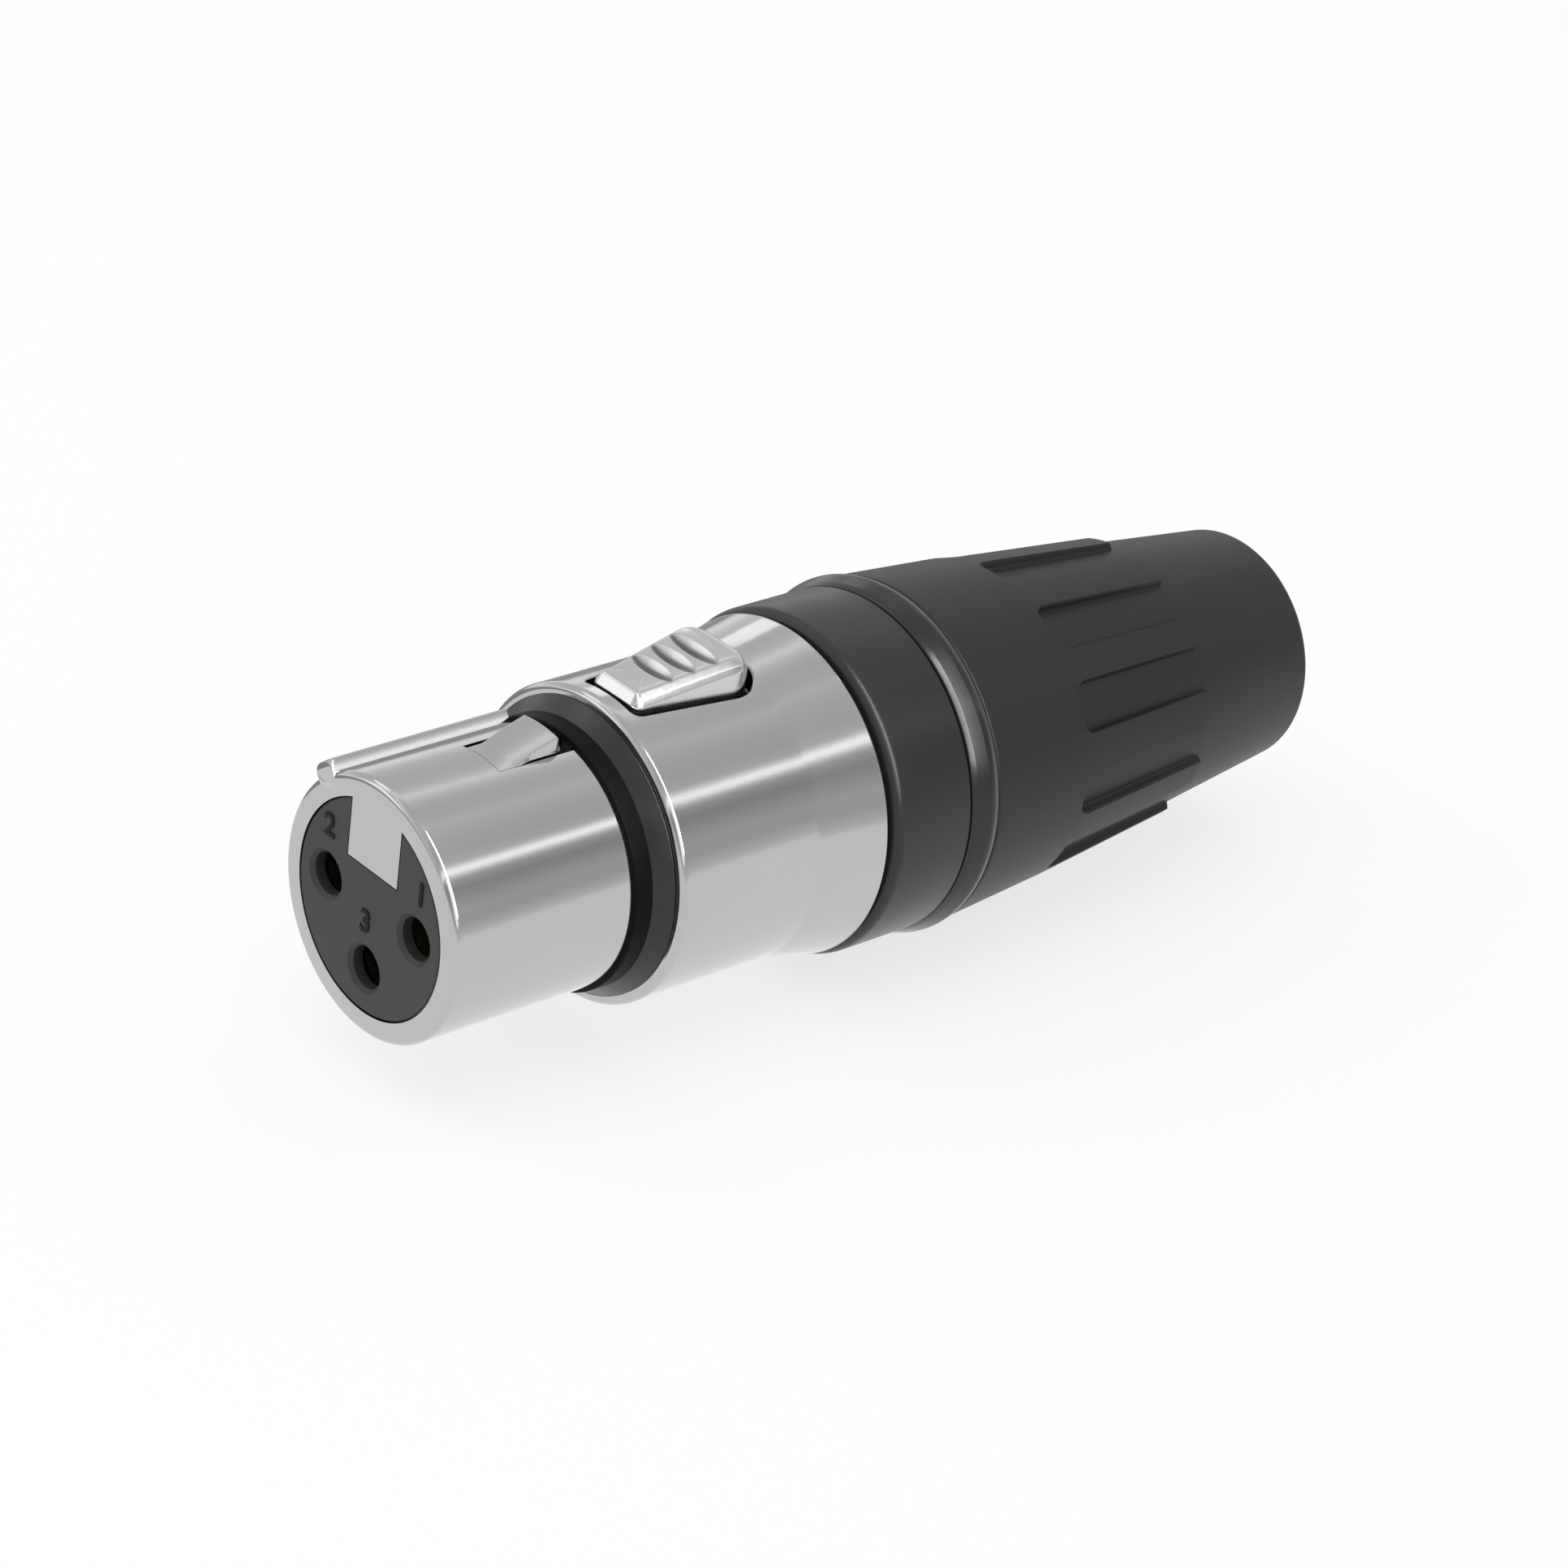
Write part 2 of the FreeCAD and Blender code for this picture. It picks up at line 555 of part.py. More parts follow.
def make_latch_spring():
    """A strip with a flat foot on the channel's floor, bowed up to the underside of the arm."""
    foot_end = NOSE_FRONT + SPRING_FOOT
    middle = (foot_end + SPRING_TIP) / 2
    rise = ARM_BOTTOM - CHANNEL_FLOOR - SPRING_THICKNESS
    curves = []
    for lift in (0.0, SPRING_THICKNESS):
        curve = Part.BSplineCurve()
        curve.interpolate([
            Vec(0, foot_end, CHANNEL_FLOOR + lift),
            Vec(0, middle, CHANNEL_FLOOR + rise / 2 + SPRING_THICKNESS + lift),
            Vec(0, SPRING_TIP, CHANNEL_FLOOR + rise + lift),
        ], InitialTangent=AXIS_Y, FinalTangent=AXIS_Y)
        curves.append(curve.toShape())
    foot_corners = [
        Vec(0, foot_end, CHANNEL_FLOOR),
        Vec(0, NOSE_FRONT, CHANNEL_FLOOR),
        Vec(0, NOSE_FRONT, CHANNEL_FLOOR + SPRING_THICKNESS),
        Vec(0, foot_end, CHANNEL_FLOOR + SPRING_THICKNESS),
    ]
    foot = Part.makePolygon(foot_corners).Edges
    tip = Part.makePolygon([
        Vec(0, SPRING_TIP, ARM_BOTTOM - SPRING_THICKNESS),
        Vec(0, SPRING_TIP, ARM_BOTTOM),
    ]).Edges
    face = Part.Face(Part.Wire(Part.__sortEdges__(curves + foot + tip)))
    face.translate(Vec(-SPRING_WIDTH / 2, 0, 0))
    return face.extrude(Vec(SPRING_WIDTH, 0, 0))


def make_insert():
    """The contact carrier: a stepped plug, notched round the tab, with a stepped hole for each contact."""
    insert = turned([
        (0, 0),
        (INSERT_R, 0, -EDGE_BREAK),
        (INSERT_R, FLANGE_FRONT),
        (INSERT_FLANGE_R, FLANGE_FRONT),
        (INSERT_FLANGE_R, FLANGE_END),
        (0, FLANGE_END),
    ])
    rear = FLANGE_END + OVERCUT
    notch = block(NOTCH_HALF_WIDTH, -OVERCUT, rear, TAB_BOTTOM - INSERT_TAB_GAP, BODY_R)
    skirt_room = block(SKIRT_ROOM_HALF, FLANGE_FRONT - OVERCUT, rear, FLANGE_NOTCH_BOTTOM, BODY_R)
    cuts = [notch.fuse(skirt_room), ground_tag(GROUND_TAG_GAP)]
    for number, (x, z) in contact_places().items():
        ring_room_r = CONTACT_RING_R + CONTACT_RING_GAP
        hole = turned([
            (0, -OVERCUT),
            (LEAD_IN_R + LEAD_IN_CHAMFER + OVERCUT, -OVERCUT),
            (LEAD_IN_R, LEAD_IN_CHAMFER),
            (LEAD_IN_R, LEAD_IN_LENGTH),
            (SOCKET_OUTER_R + CAVITY_GAP, LEAD_IN_LENGTH),
            (SOCKET_OUTER_R + CAVITY_GAP, SOCKET_FRONT + SOCKET_DEPTH),
            (SOCKET_OUTER_R, SOCKET_FRONT + SOCKET_DEPTH),
            (SOCKET_OUTER_R, CONTACT_RING_FRONT),
            (ring_room_r, CONTACT_RING_FRONT),
            (ring_room_r, rear),
            (0, rear),
        ])
        hole.translate(Vec(x, 0, z))
        cuts.append(hole)
    return insert.cut(cuts)


def make_contact(number):
    """A turned socket: a split sleeve in front, a retaining ring, and an open solder cup behind."""
    front = socket_front(number)
    sleeve_end = SOCKET_FRONT + SOCKET_DEPTH
    contact = turned([
        (SOCKET_BORE_R, front),
        (SOCKET_OUTER_R, front),
        (SOCKET_OUTER_R, CONTACT_RING_FRONT),
        (CONTACT_RING_R, CONTACT_RING_FRONT),
        (CONTACT_RING_R, FLANGE_END),
        (CUP_R, FLANGE_END),
        (CUP_R, CUP_END),
        (CUP_BORE_R, CUP_END),
        (CUP_BORE_R, CUP_FRONT),
        (0, CUP_FRONT),
        (0, sleeve_end),
        (SOCKET_BORE_R, sleeve_end),
    ])
    slit_end = front + SOCKET_SLIT_LENGTH
    mouth_front = CUP_END - CUP_MOUTH_LENGTH
    slit = block(CONTACT_RING_R, front - OVERCUT, slit_end, -SOCKET_SLIT / 2, SOCKET_SLIT / 2)
    mouth = block(CONTACT_RING_R, mouth_front, CUP_END + OVERCUT, CUP_MOUTH_HEIGHT, CONTACT_RING_R)
    contact = contact.cut([slit, mouth])
    x, z = contact_places()[number]
    contact.translate(Vec(x, 0, z))
    return contact


def make_insert_cap():
    """The rear plate, which closes the contact holes behind the contacts' rings."""
    cap = rod(CAP_R, FLANGE_END, CAP_END)
    front = FLANGE_END - OVERCUT
    rear = CAP_END + OVERCUT
    cuts = [
        block(BODY_R, front, rear, CAP_TOP, BODY_R),
        block(NOTCH_HALF_WIDTH, front, rear, TAB_BOTTOM - INSERT_TAB_GAP, BODY_R),
    ]
    for x, z in contact_places().values():
        cuts.append(rod(CUP_R + CONTACT_RING_GAP, front, rear, x, z))
    return cap.cut(cuts)


def ground_tag(gap):
    """The solder tag's strip, running back from the ground ring, grown by a gap all round."""
    inner = BARREL_BORE_R - gap
    outer = BARREL_BORE_R + GROUND_RING_THICKNESS + gap
    front = WEB_END + GROUND_RING_THICKNESS / 2
    strip = block(GROUND_TAG_WIDTH / 2 + gap, front, GROUND_TAG_END, inner, outer)
    strip.rotate(ORIGIN, AXIS_Y, GROUND_TAG_ANGLE)
    return strip


def make_shell_ground_ring():
    """A washer between the shell's web and the insert's flange, with a bent solder tag."""
    washer = turned([
        (BARREL_BORE_R, WEB_END),
        (BODY_BORE_R - GROUND_RING_EDGE_GAP, WEB_END),
        (BODY_BORE_R - GROUND_RING_EDGE_GAP, FLANGE_FRONT),
        (BARREL_BORE_R, FLANGE_FRONT),
    ])
    latch_room = block(SKIRT_ROOM_HALF, 0, SPIGOT_END, 0, BODY_R)
    tag_hole = Part.makeCylinder(GROUND_TAG_HOLE_R, BODY_R)
    tag_hole.rotate(ORIGIN, AXIS_Y, GROUND_TAG_ANGLE)
    tag_hole.translate(Vec(0, GROUND_TAG_END - GROUND_TAG_WIDTH / 2, 0))
    return washer.cut(latch_room).fuse(ground_tag(0)).cut(tag_hole).removeSplitter()


def make_coding_ring():
    """A smooth ring with a rounded front edge, on its seat behind the body's flare."""
    return turned([
        (RING_SEAT_R + SEAT_GAP, CODING_RING_FRONT),
        (CODING_RING_R, CODING_RING_FRONT, CODING_EDGE_R),
        (CODING_RING_R, CODING_RING_END),
        (RING_SEAT_R + SEAT_GAP, CODING_RING_END),
    ])


def taper_radius(station):
    """The bushing's inner taper, which closes the chuck."""
    share = (station - TAPER_FRONT) / (CORE_END - TAPER_FRONT)
    return TAPER_FRONT_R + (TAPER_REAR_R - TAPER_FRONT_R) * share


def make_bushing():
    """Threaded bore in front, rounded lip outside, and a double taper behind."""
    return turned([
        (THREAD_R + THREAD_GAP, LIP_FRONT),
        (CODING_RING_R, LIP_FRONT),
        (LIP_R, LIP_FRONT + LIP_BEVEL, LIP_BEVEL_R),
        (LIP_REAR_R, LIP_END, -EDGE_BREAK),
        (CORE_FRONT_R, LIP_END),
        (CORE_FRONT_R, NUT_END),
        (CORE_REAR_R, CORE_END),
        (TAPER_REAR_R, CORE_END),
        (TAPER_FRONT_R, TAPER_FRONT),
        (THREAD_R + THREAD_GAP, NUT_END),
    ])


def make_chuck():
    """A trough under the latch, against the insert's flange, then a tube with four tapered jaws."""
    inner = CHUCK_R - CHUCK_WALL
    jaw_front_r = taper_radius(TAPER_FRONT) - CHUCK_TAPER_GAP
    jaw_end_r = taper_radius(JAW_END) - CHUCK_TAPER_GAP
    chuck = turned([
        (inner, CHUCK_FRONT),
        (CHUCK_R, CHUCK_FRONT),
        (CHUCK_R, CHUCK_TUBE_END),
        (jaw_front_r, TAPER_FRONT),
        (jaw_end_r, JAW_END, -JAW_CHAMFER),
        (JAW_BORE_R, JAW_END),
        (JAW_BORE_R, JAW_START),
        (inner, CHUCK_TUBE_END),
    ])
    front = CHUCK_FRONT - OVERCUT
    latch_room = block(BODY_R, front, CHUCK_TROUGH_END, CHUCK_TROUGH_TOP, BODY_R)
    slits = []
    for index in range(JAW_COUNT // 2):
        slit = block(BODY_R, JAW_START, JAW_END + OVERCUT, -JAW_SLIT / 2, JAW_SLIT / 2)
        slit.rotate(ORIGIN, AXIS_Y, 360.0 / JAW_COUNT * (index + 0.5))
        slits.append(slit)
    return chuck.cut([latch_room] + slits)


def land_radius(station):
    """The boot's outside over its grip, a straight taper from the bend to the lands' end."""
    share = (station - BOOT_BEND) / (LAND_END - BOOT_BEND)
    return BOOT_BEND_R + (LAND_END_R - BOOT_BEND_R) * share


def make_grip_groove(index):
    """One groove of the grip: a sector of the taper, rounded in front and level with the tail behind."""
    floor_front_r = land_radius(GROOVE_FRONT) - GROOVE_DEPTH
    sector = turned([
        (floor_front_r, GROOVE_FRONT),
        (BOOT_BEND_R + OVERCUT, GROOVE_FRONT),
        (BOOT_BEND_R + OVERCUT, LAND_END + OVERCUT),
        (TAIL_FRONT_R, LAND_END + OVERCUT),
        (TAIL_FRONT_R, LAND_END),
    ], GROOVE_ANGLE, -GROOVE_ANGLE / 2)
    front_corners = [edge for edge in sector.Edges if is_radial_front_edge(edge)]
    sector = sector.makeFillet(GROOVE_END_R, front_corners)
    sector.rotate(ORIGIN, AXIS_Y, 360.0 / GROOVE_COUNT * index)
    return sector


def is_radial_front_edge(edge):
    """True for the two straight edges at a groove's front end."""
    flat = all(abs(v.Point.y - GROOVE_FRONT) < 1e-6 for v in edge.Vertexes)
    return flat and isinstance(edge.Curve, Part.Line)


def make_boot():
    """The rubber boot: turned outside and inside, with the grip's grooves cut round it."""
    tail_hole_front = BOOT_END - TAIL_HOLE_LENGTH
    boot = turned([
        (CORE_FRONT_R, LIP_END),
        (BOOT_FRONT_R, LIP_END, -EDGE_BREAK),
        (BOOT_BEND_R, BOOT_BEND, BOOT_SOFTNESS),
        (LAND_END_R, LAND_END),
        (TAIL_FRONT_R, LAND_END),
        (TAIL_REAR_R, BOOT_END, TAIL_EDGE_R),
        (TAIL_HOLE_R, BOOT_END, -TAIL_HOLE_CHAMFER),
        (TAIL_HOLE_R, tail_hole_front),
        (CORE_REAR_R - BOOT_INNER_STEP, CORE_END + OVERCUT),
        (CORE_REAR_R - BOOT_INNER_STEP, CORE_END),
        (CORE_REAR_R, CORE_END),
        (CORE_FRONT_R, NUT_END),
    ])
    return boot.cut([make_grip_groove(index) for index in range(GROOVE_COUNT)])


def write_parts():
    """Each piece goes to its own file, named as its node."""
    os.makedirs("parts", exist_ok=True)
    pieces = {
        "shell": make_shell(),
        "shoulder_ring": make_shoulder_ring(),
        "latch_lever": make_latch_lever(),
        "latch_pin": make_latch_pin(),
        "latch_spring": make_latch_spring(),
        "insert": make_insert(),
        "insert_cap": make_insert_cap(),
        "shell_ground_ring": make_shell_ground_ring(),
        "coding_ring": make_coding_ring(),
        "bushing": make_bushing(),
        "chuck": make_chuck(),
        "boot": make_boot(),
    }
    for number in contact_places():
        pieces["contact_%d" % number] = make_contact(number)
    for name, shape in pieces.items():
        shape.exportStep("parts/%s.step" % name)
        print(name, shape.ShapeType, len(shape.Solids), "volume %.1f" % shape.Volume, shape.isValid())


write_parts()
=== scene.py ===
"""The looks of a female three-pole cable connector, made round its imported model.

Metres, in the model's own frame: the origin is the centre of the mating face, +Y runs to the
cable end and +Z is the latch side. An angle goes round the axis from +Z towards +X, so a
point at radius r and angle a has x = r sin(a) and z = r cos(a). A station is a distance
along the axis from the mating face.
"""

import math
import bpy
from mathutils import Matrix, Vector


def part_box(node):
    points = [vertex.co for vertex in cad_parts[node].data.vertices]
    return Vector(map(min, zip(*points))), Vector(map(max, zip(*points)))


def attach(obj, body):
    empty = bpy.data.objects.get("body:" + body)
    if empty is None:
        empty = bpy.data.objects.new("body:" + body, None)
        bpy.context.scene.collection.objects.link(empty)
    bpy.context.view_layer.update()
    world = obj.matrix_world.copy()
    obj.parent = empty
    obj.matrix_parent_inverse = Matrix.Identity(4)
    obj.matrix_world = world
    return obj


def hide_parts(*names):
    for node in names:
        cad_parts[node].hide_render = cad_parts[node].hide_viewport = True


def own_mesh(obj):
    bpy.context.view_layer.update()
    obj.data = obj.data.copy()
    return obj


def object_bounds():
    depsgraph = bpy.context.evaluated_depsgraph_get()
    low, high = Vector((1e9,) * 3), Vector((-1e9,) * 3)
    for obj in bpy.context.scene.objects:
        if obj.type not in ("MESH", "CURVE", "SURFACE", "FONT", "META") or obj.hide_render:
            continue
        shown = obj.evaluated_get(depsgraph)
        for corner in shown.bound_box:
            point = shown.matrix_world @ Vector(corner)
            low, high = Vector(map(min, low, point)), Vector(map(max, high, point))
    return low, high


bl_info = {
    "name": "Cable Connector Looks",
    "version": (1, 0, 0),
    "blender": (4, 5, 0),
    "location": "View3D > Sidebar > Connector",
    "description": "Makes the plated, moulded and rubber surfaces of a cable connector",
    "category": "Object",
}

import bmesh
import bpy
import numpy as np
from bpy.props import FloatProperty, FloatVectorProperty, IntProperty, PointerProperty
from bpy.types import Operator, Panel, PropertyGroup
from mathutils import Matrix, Vector
from mathutils.geometry import tessellate_polygon

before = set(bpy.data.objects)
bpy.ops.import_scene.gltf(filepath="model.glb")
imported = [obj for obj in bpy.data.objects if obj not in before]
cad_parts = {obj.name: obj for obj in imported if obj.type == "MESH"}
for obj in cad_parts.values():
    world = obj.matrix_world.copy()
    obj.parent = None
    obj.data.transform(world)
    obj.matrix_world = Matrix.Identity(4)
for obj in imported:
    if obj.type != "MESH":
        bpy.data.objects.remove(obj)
CAD_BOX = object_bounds()

MM = 0.001
TURN = 2 * math.pi
WELD_DISTANCE = 1e-6
SMOOTH_ANGLE = math.radians(32)


def length(millimetres, description):
    """A size that the user can change, given in millimetres and held in metres."""
    return FloatProperty(description=description, default=millimetres * MM, unit="LENGTH", precision=5)


def angle_size(degrees, description):
    """An angle that the user can change, given in degrees and held in radians."""
    return FloatProperty(description=description, default=math.radians(degrees), unit="ROTATION")


def level(default, description, **more):
    """A brightness or power that the user can change."""
    return FloatProperty(description=description, default=default, min=0.0, **more)


def tally(default, least, description):
    """A number of like things that the user can change."""
    return IntProperty(description=description, default=default, min=least)


def tint(red, green, blue, description):
    """A linear colour that the user can change."""
    return FloatVectorProperty(
        description=description, default=(red, green, blue), subtype="COLOR", min=0.0, max=1.0
    )


def name_properties(group):
    """Gives each property of a group its name: the words of its attribute."""
    for attribute, prop in group.__annotations__.items():
        prop.keywords["name"] = attribute.replace("_", " ").capitalize()


class HousingSizes(PropertyGroup):
    """Sizes of the plated housing."""

    barrel_radius: length(8.0, "Radius of the barrel that enters the mate")
    barrel_bore: length(6.6, "Radius of the barrel's bore")
    nose_edge: length(0.45, "Rounding of the barrel's front edge")
    barrel_end: length(14.9, "Station where the body's front face stands")
    key_width: length(1.65, "Width of the key ridge")
    key_top: length(8.75, "Radius of the key ridge's top")
    key_edge: length(0.2, "Rounding of the key ridge's top edges")
    key_end: length(12.6, "Station where the key ridge meets the rubber ring")
    key_angle: angle_size(-38, "Angle of the key ridge")
    tab_half_width: length(2.28, "Half the width of the front tab")
    tab_bottom: length(2.5, "Height of the front tab's lower face")
    slot_half_width: length(1.72, "Half the width of the latch slot")
    slot_front: length(7.1, "Station where the latch slot starts")
    slot_rear: length(12.95, "Station where the latch slot ends")
    channel_floor: length(3.3, "Height of the latch channel's floor")
    channel_roof: length(6.4, "Height of the latch channel's roof behind the slot")
    web_end: length(15.9, "Station of the web's rear face inside the body")
    body_radius: length(9.71, "Radius of the body")
    body_bore: length(8.4, "Radius of the body's bore")
    body_edge: length(0.42, "Rounding of the body's front edge")
    flare_start: length(25.3, "Station where the body starts to widen")
    flare_bend: length(1.0, "Bend radius where the body starts to widen")
    flare_end: length(30.0, "Station where the body ends")
    flare_radius: length(10.54, "Radius of the body's rear edge")
    flare_edge: length(0.14, "Rounding of the body's rear edge")
    seat_radius: length(9.6, "Radius of the coding ring's seat")
    seat_end: length(36.4, "Station where the coding ring's seat ends")
    thread_radius: length(9.2, "Outer radius of the spigot's thread")
    thread_pitch: length(1.0, "Pitch of the spigot's thread")
    thread_depth: length(0.3, "Depth of the spigot's thread")
    spigot_end: length(41.5, "Station where the spigot ends")
    window_front: length(16.15, "Station of the button window's front")
    window_rear: length(25.7, "Station of the button window's rear")
    window_front_half: length(2.49, "Half the window's width in front")
    window_rear_half: length(3.43, "Half the window's width behind")
    window_front_corner: length(0.6, "Plan radius of the window's front corners")
    window_rear_corner: length(2.35, "Plan radius of the window's rear corners")
    window_break: length(0.09, "Chamfer of the window's edge")
    columns: tally(240, 24, "Steps round the axis")


class LatchSizes(PropertyGroup):
    """Sizes of the latch lever and its button."""

    half_width: length(1.55, "Half the width of the nose and arm")
    nose_front: length(7.127, "Station of the nose's front")
    nose_flat: length(1.0, "Length of the nose that is level with the barrel")
    nose_rear: length(11.35, "Station of the nose's top rear edge")
    nose_foot: length(11.6, "Station of the nose's rear foot")
    nose_top: length(8.97, "Radius of the nose's top at its rear")
    nose_left: length(1.36, "Width of the nose's front left of its middle")
    nose_right: length(1.70, "Width of the nose's front right of its middle")
    nose_edge: length(0.05, "Rounding of the nose's long top edges")
    arm_bottom: length(5.0, "Height of the arm's lower face")
    arm_top: length(6.2, "Height of the arm's upper face")
    pin_station: length(27.3, "Station of the pin's centre")
    pin_height: length(6.9, "Height of the pin's centre")
    eye_radius: length(1.2, "Outer radius of the eye round the pin")
    eye_bore: length(0.65, "Radius of the eye's bore")
    edge: length(0.1, "Rounding of the lever's edges")
    button_front: length(16.45, "Station of the button's front")
    button_rear: length(25.1, "Station of the button's rear")
    button_front_half: length(2.04, "Half the button's width in front")
    button_rear_half: length(2.98, "Half the button's width behind")
    button_front_top: length(10.21, "Height of the button's top behind its front bevel")
    button_crest: length(23.9, "Station of the button's highest line")
    button_crest_top: length(11.42, "Height of the button's highest line")
    button_rear_top: length(11.0, "Height of the button's top behind")
    front_bevel: length(0.4, "Length of the bevel at the button's front")
    front_drop: length(0.6, "Height of the bevel at the button's front")
    side_bevel: length(0.52, "Width of the bevel along the button's sides and rear")
    side_drop: length(0.6, "Height of the bevel along the button's sides and rear")
    rim: length(0.24, "Rounding under the button's bevels")
    button_floor: length(7.2, "Height of the button's foot on its skirt")
    corner_front: length(0.6, "Plan radius of the button's front corners")
    corner_rear: length(1.9, "Plan radius of the button's rear corners")
    scallop_first: length(19.25, "Station of the first scallop's middle")
    scallop_pitch: length(1.53, "Distance between two scallops")
    scallop_half: length(0.72, "Half the length of a scallop along the button")
    scallop_depth: length(0.3, "Depth of a scallop")
    scallop_margin: length(0.42, "Distance of a scallop's end from the button's side")
    skirt_bottom: length(6.4, "Height of the skirt's lower face")
    skirt_top: length(7.3, "Height of the skirt's upper face")
    skirt_overlap: length(0.35, "How far the skirt reaches past the window's sides")


class CollarSizes(PropertyGroup):
    """Sizes of the turned rings and of the bushing."""

    rubber_front: length(12.6, "Station where the rubber ring starts")
    rubber_sleeve: length(8.28, "Radius of the rubber ring's sleeve")
    rubber_bevel: length(13.85, "Station where the rubber ring starts to widen")
    rubber_radius: length(9.18, "Largest radius of the rubber ring")
    ring_bore: length(9.65, "Radius of the coding ring's bore")
    ring_front: length(30.4, "Station where the coding ring starts")
    ring_end: length(36.4, "Station where the coding ring ends")
    ring_radius: length(10.82, "Radius of the coding ring")
    ring_edge: length(0.66, "Rounding of the coding ring's front edge")
    pilot_radius: length(10.0, "Radius of the coding ring's step at each end, inside the joints")
    pilot_reach: length(0.25, "How far the rear step reaches into the bushing")
    pilot_play: length(0.05, "Play round the rear step")
    lip_front: length(36.5, "Station where the bushing's lip starts")
    lip_step: length(36.86, "Station where the lip's steep foot ends")
    lip_step_radius: length(10.985, "Radius where the lip's steep foot ends")
    lip_bevel_end: length(37.85, "Station where the lip's bevel ends")
    lip_end: length(38.45, "Station where the boot starts")
    lip_radius: length(11.33, "Largest radius of the lip")
    lip_rear_radius: length(11.06, "Radius of the lip at the boot")
    nut_bore: length(9.28, "Radius of the bushing's threaded bore")
    nut_end: length(41.8, "Station where the threaded bore ends")
    core_front_radius: length(9.7, "Outside of the core at the lip")
    core_rear_radius: length(7.3, "Outside of the core at its end")
    core_end: length(59.8, "Station where the core ends")
    taper_front: length(42.6, "Station where the inner taper starts")
    taper_front_radius: length(8.37, "Radius of the inner taper in front")
    taper_rear_radius: length(5.6, "Radius of the inner taper behind")


class BootSizes(PropertyGroup):
    """Sizes of the rubber boot."""

    front_radius: length(11.09, "Radius of the boot at the lip")
    bend: length(47.3, "Station where the boot starts to narrow")
    bend_radius: length(10.41, "Radius of the boot where it starts to narrow")
    softness: length(50.0, "Rounding of that bend")
    land_end: length(58.5, "Station where the grip's lands end")
    land_end_radius: length(9.28, "Radius of the lands at their end")
    tail_front_radius: length(8.82, "Radius of the tail at the grip")
    tail_rear_radius: length(7.61, "Radius of the tail at its end")
    tail_end: length(69.45, "Station where the boot ends")
    tail_edge: length(0.55, "Rounding of the boot's rear edge")
    hole_radius: length(3.8, "Radius of the cable hole")
    hole_front: length(63.95, "Station where the cable hole widens inside")
    inner_step: length(6.1, "Radius of the wall behind the core's end")
    groove_front: length(46.6, "Station where the grooves start")
    groove_depth: length(0.62, "Depth of the grooves in front")
    groove_corner: length(0.85, "Plan radius of a groove's front corners")
    groove_wall: length(0.22, "Width over which a groove's wall falls")
    grooves: tally(12, 1, "Number of grooves")
    groove_half_angle: angle_size(8.6, "Half the angle that a groove takes")


class FinishColours(PropertyGroup):
    """Colours of the finishes."""

    nickel: tint(0.50, 0.50, 0.497, "Plating of the housing")
    latch_nickel: tint(0.60, 0.60, 0.595, "Plating of the latch")
    insert: tint(0.030, 0.030, 0.031, "Moulded contact carrier")
    # The numbers' colour is darker than the carrier's: painted shade on their relief.
    numeral: tint(0.008, 0.008, 0.0085, "Pin numbers on the carrier")
    rubber_ring: tint(0.013, 0.013, 0.014, "Ring at the shoulder")
    # The sleeve's colour is a darker copy of the ring's: painted shade.
    rubber_sleeve: tint(0.004, 0.004, 0.0045, "Sleeve of the ring at the shoulder")
    collar: tint(0.020, 0.020, 0.0205, "Coding ring and bushing")
    boot: tint(0.013, 0.013, 0.0135, "Rubber of the boot")
    brass: tint(0.62, 0.50, 0.28, "Plating of the contacts")
    chuck: tint(0.62, 0.61, 0.57, "Moulded cable clamp")
    steel: tint(0.42, 0.42, 0.43, "Pin, leaf spring and ground ring")


class StageSettings(PropertyGroup):
    """Light, floor and backdrop."""

    key_power: level(1.5, "Power of the large soft lamp", unit="POWER")
    front_power: level(0.5, "Power of the front lamp", unit="POWER")
    world_level: level(0.7, "Grey of the studio's even light")
    card_level: level(1.6, "Brightness of the bright cards")
    glow_level: level(18.0, "Brightness of the lip's card")
    dark_level: level(0.36, "Brightness of the low card")
    tent_radius: length(150.0, "Radius of the grey bands that the metal reflects")
    floor_size: length(3000.0, "Half the width of the floor")
    floor_gap: length(0.02, "Distance of the floor under the part")


# Shapes


def rounded_outline(corners, steps=8):
    """Points of a closed outline through (u, v, radius) corners.

    A corner with a radius becomes an arc that touches both of its edges: its centre lies on
    the corner's bisector, and its points turn evenly from one touching point to the other.
    """
    points = []
    share = np.linspace(0.0, 1.0, steps + 1)[:, None]
    for index, (u, v, radius) in enumerate(corners):
        corner = np.array((u, v))
        before = np.array(corners[index - 1][:2]) - corner
        after = np.array(corners[(index + 1) % len(corners)][:2]) - corner
        before /= np.linalg.norm(before)
        after /= np.linalg.norm(after)
        if radius <= 0:
            points.append(corner[None])
            continue
        half = math.acos(float(np.clip(before @ after, -1, 1))) / 2
        bisector = (before + after) / np.linalg.norm(before + after)
        centre = corner + bisector * radius / math.sin(half)
        first = corner + before * radius / math.tan(half) - centre
        last = corner + after * radius / math.tan(half) - centre
        sweep = math.pi - 2 * half
        swept = np.sin((1 - share) * sweep) * first + np.sin(share * sweep) * last
        points.append(centre + swept / math.sin(sweep))
    return np.vstack(points)


def round_points(radii, stations, angles):
    """Points at (radius, station, angle): x = r sin(a), y = station, z = r cos(a)."""
    radii, stations, angles = np.broadcast_arrays(radii, stations, angles)
    return np.stack((radii * np.sin(angles), stations, radii * np.cos(angles)), axis=-1)


def turned_rows(profile, angles):
    """A profile of (radius, station) points, carried round the axis to each angle."""
    profile = np.asarray(profile)
    return round_points(profile[:, :1], profile[:, 1:], angles)


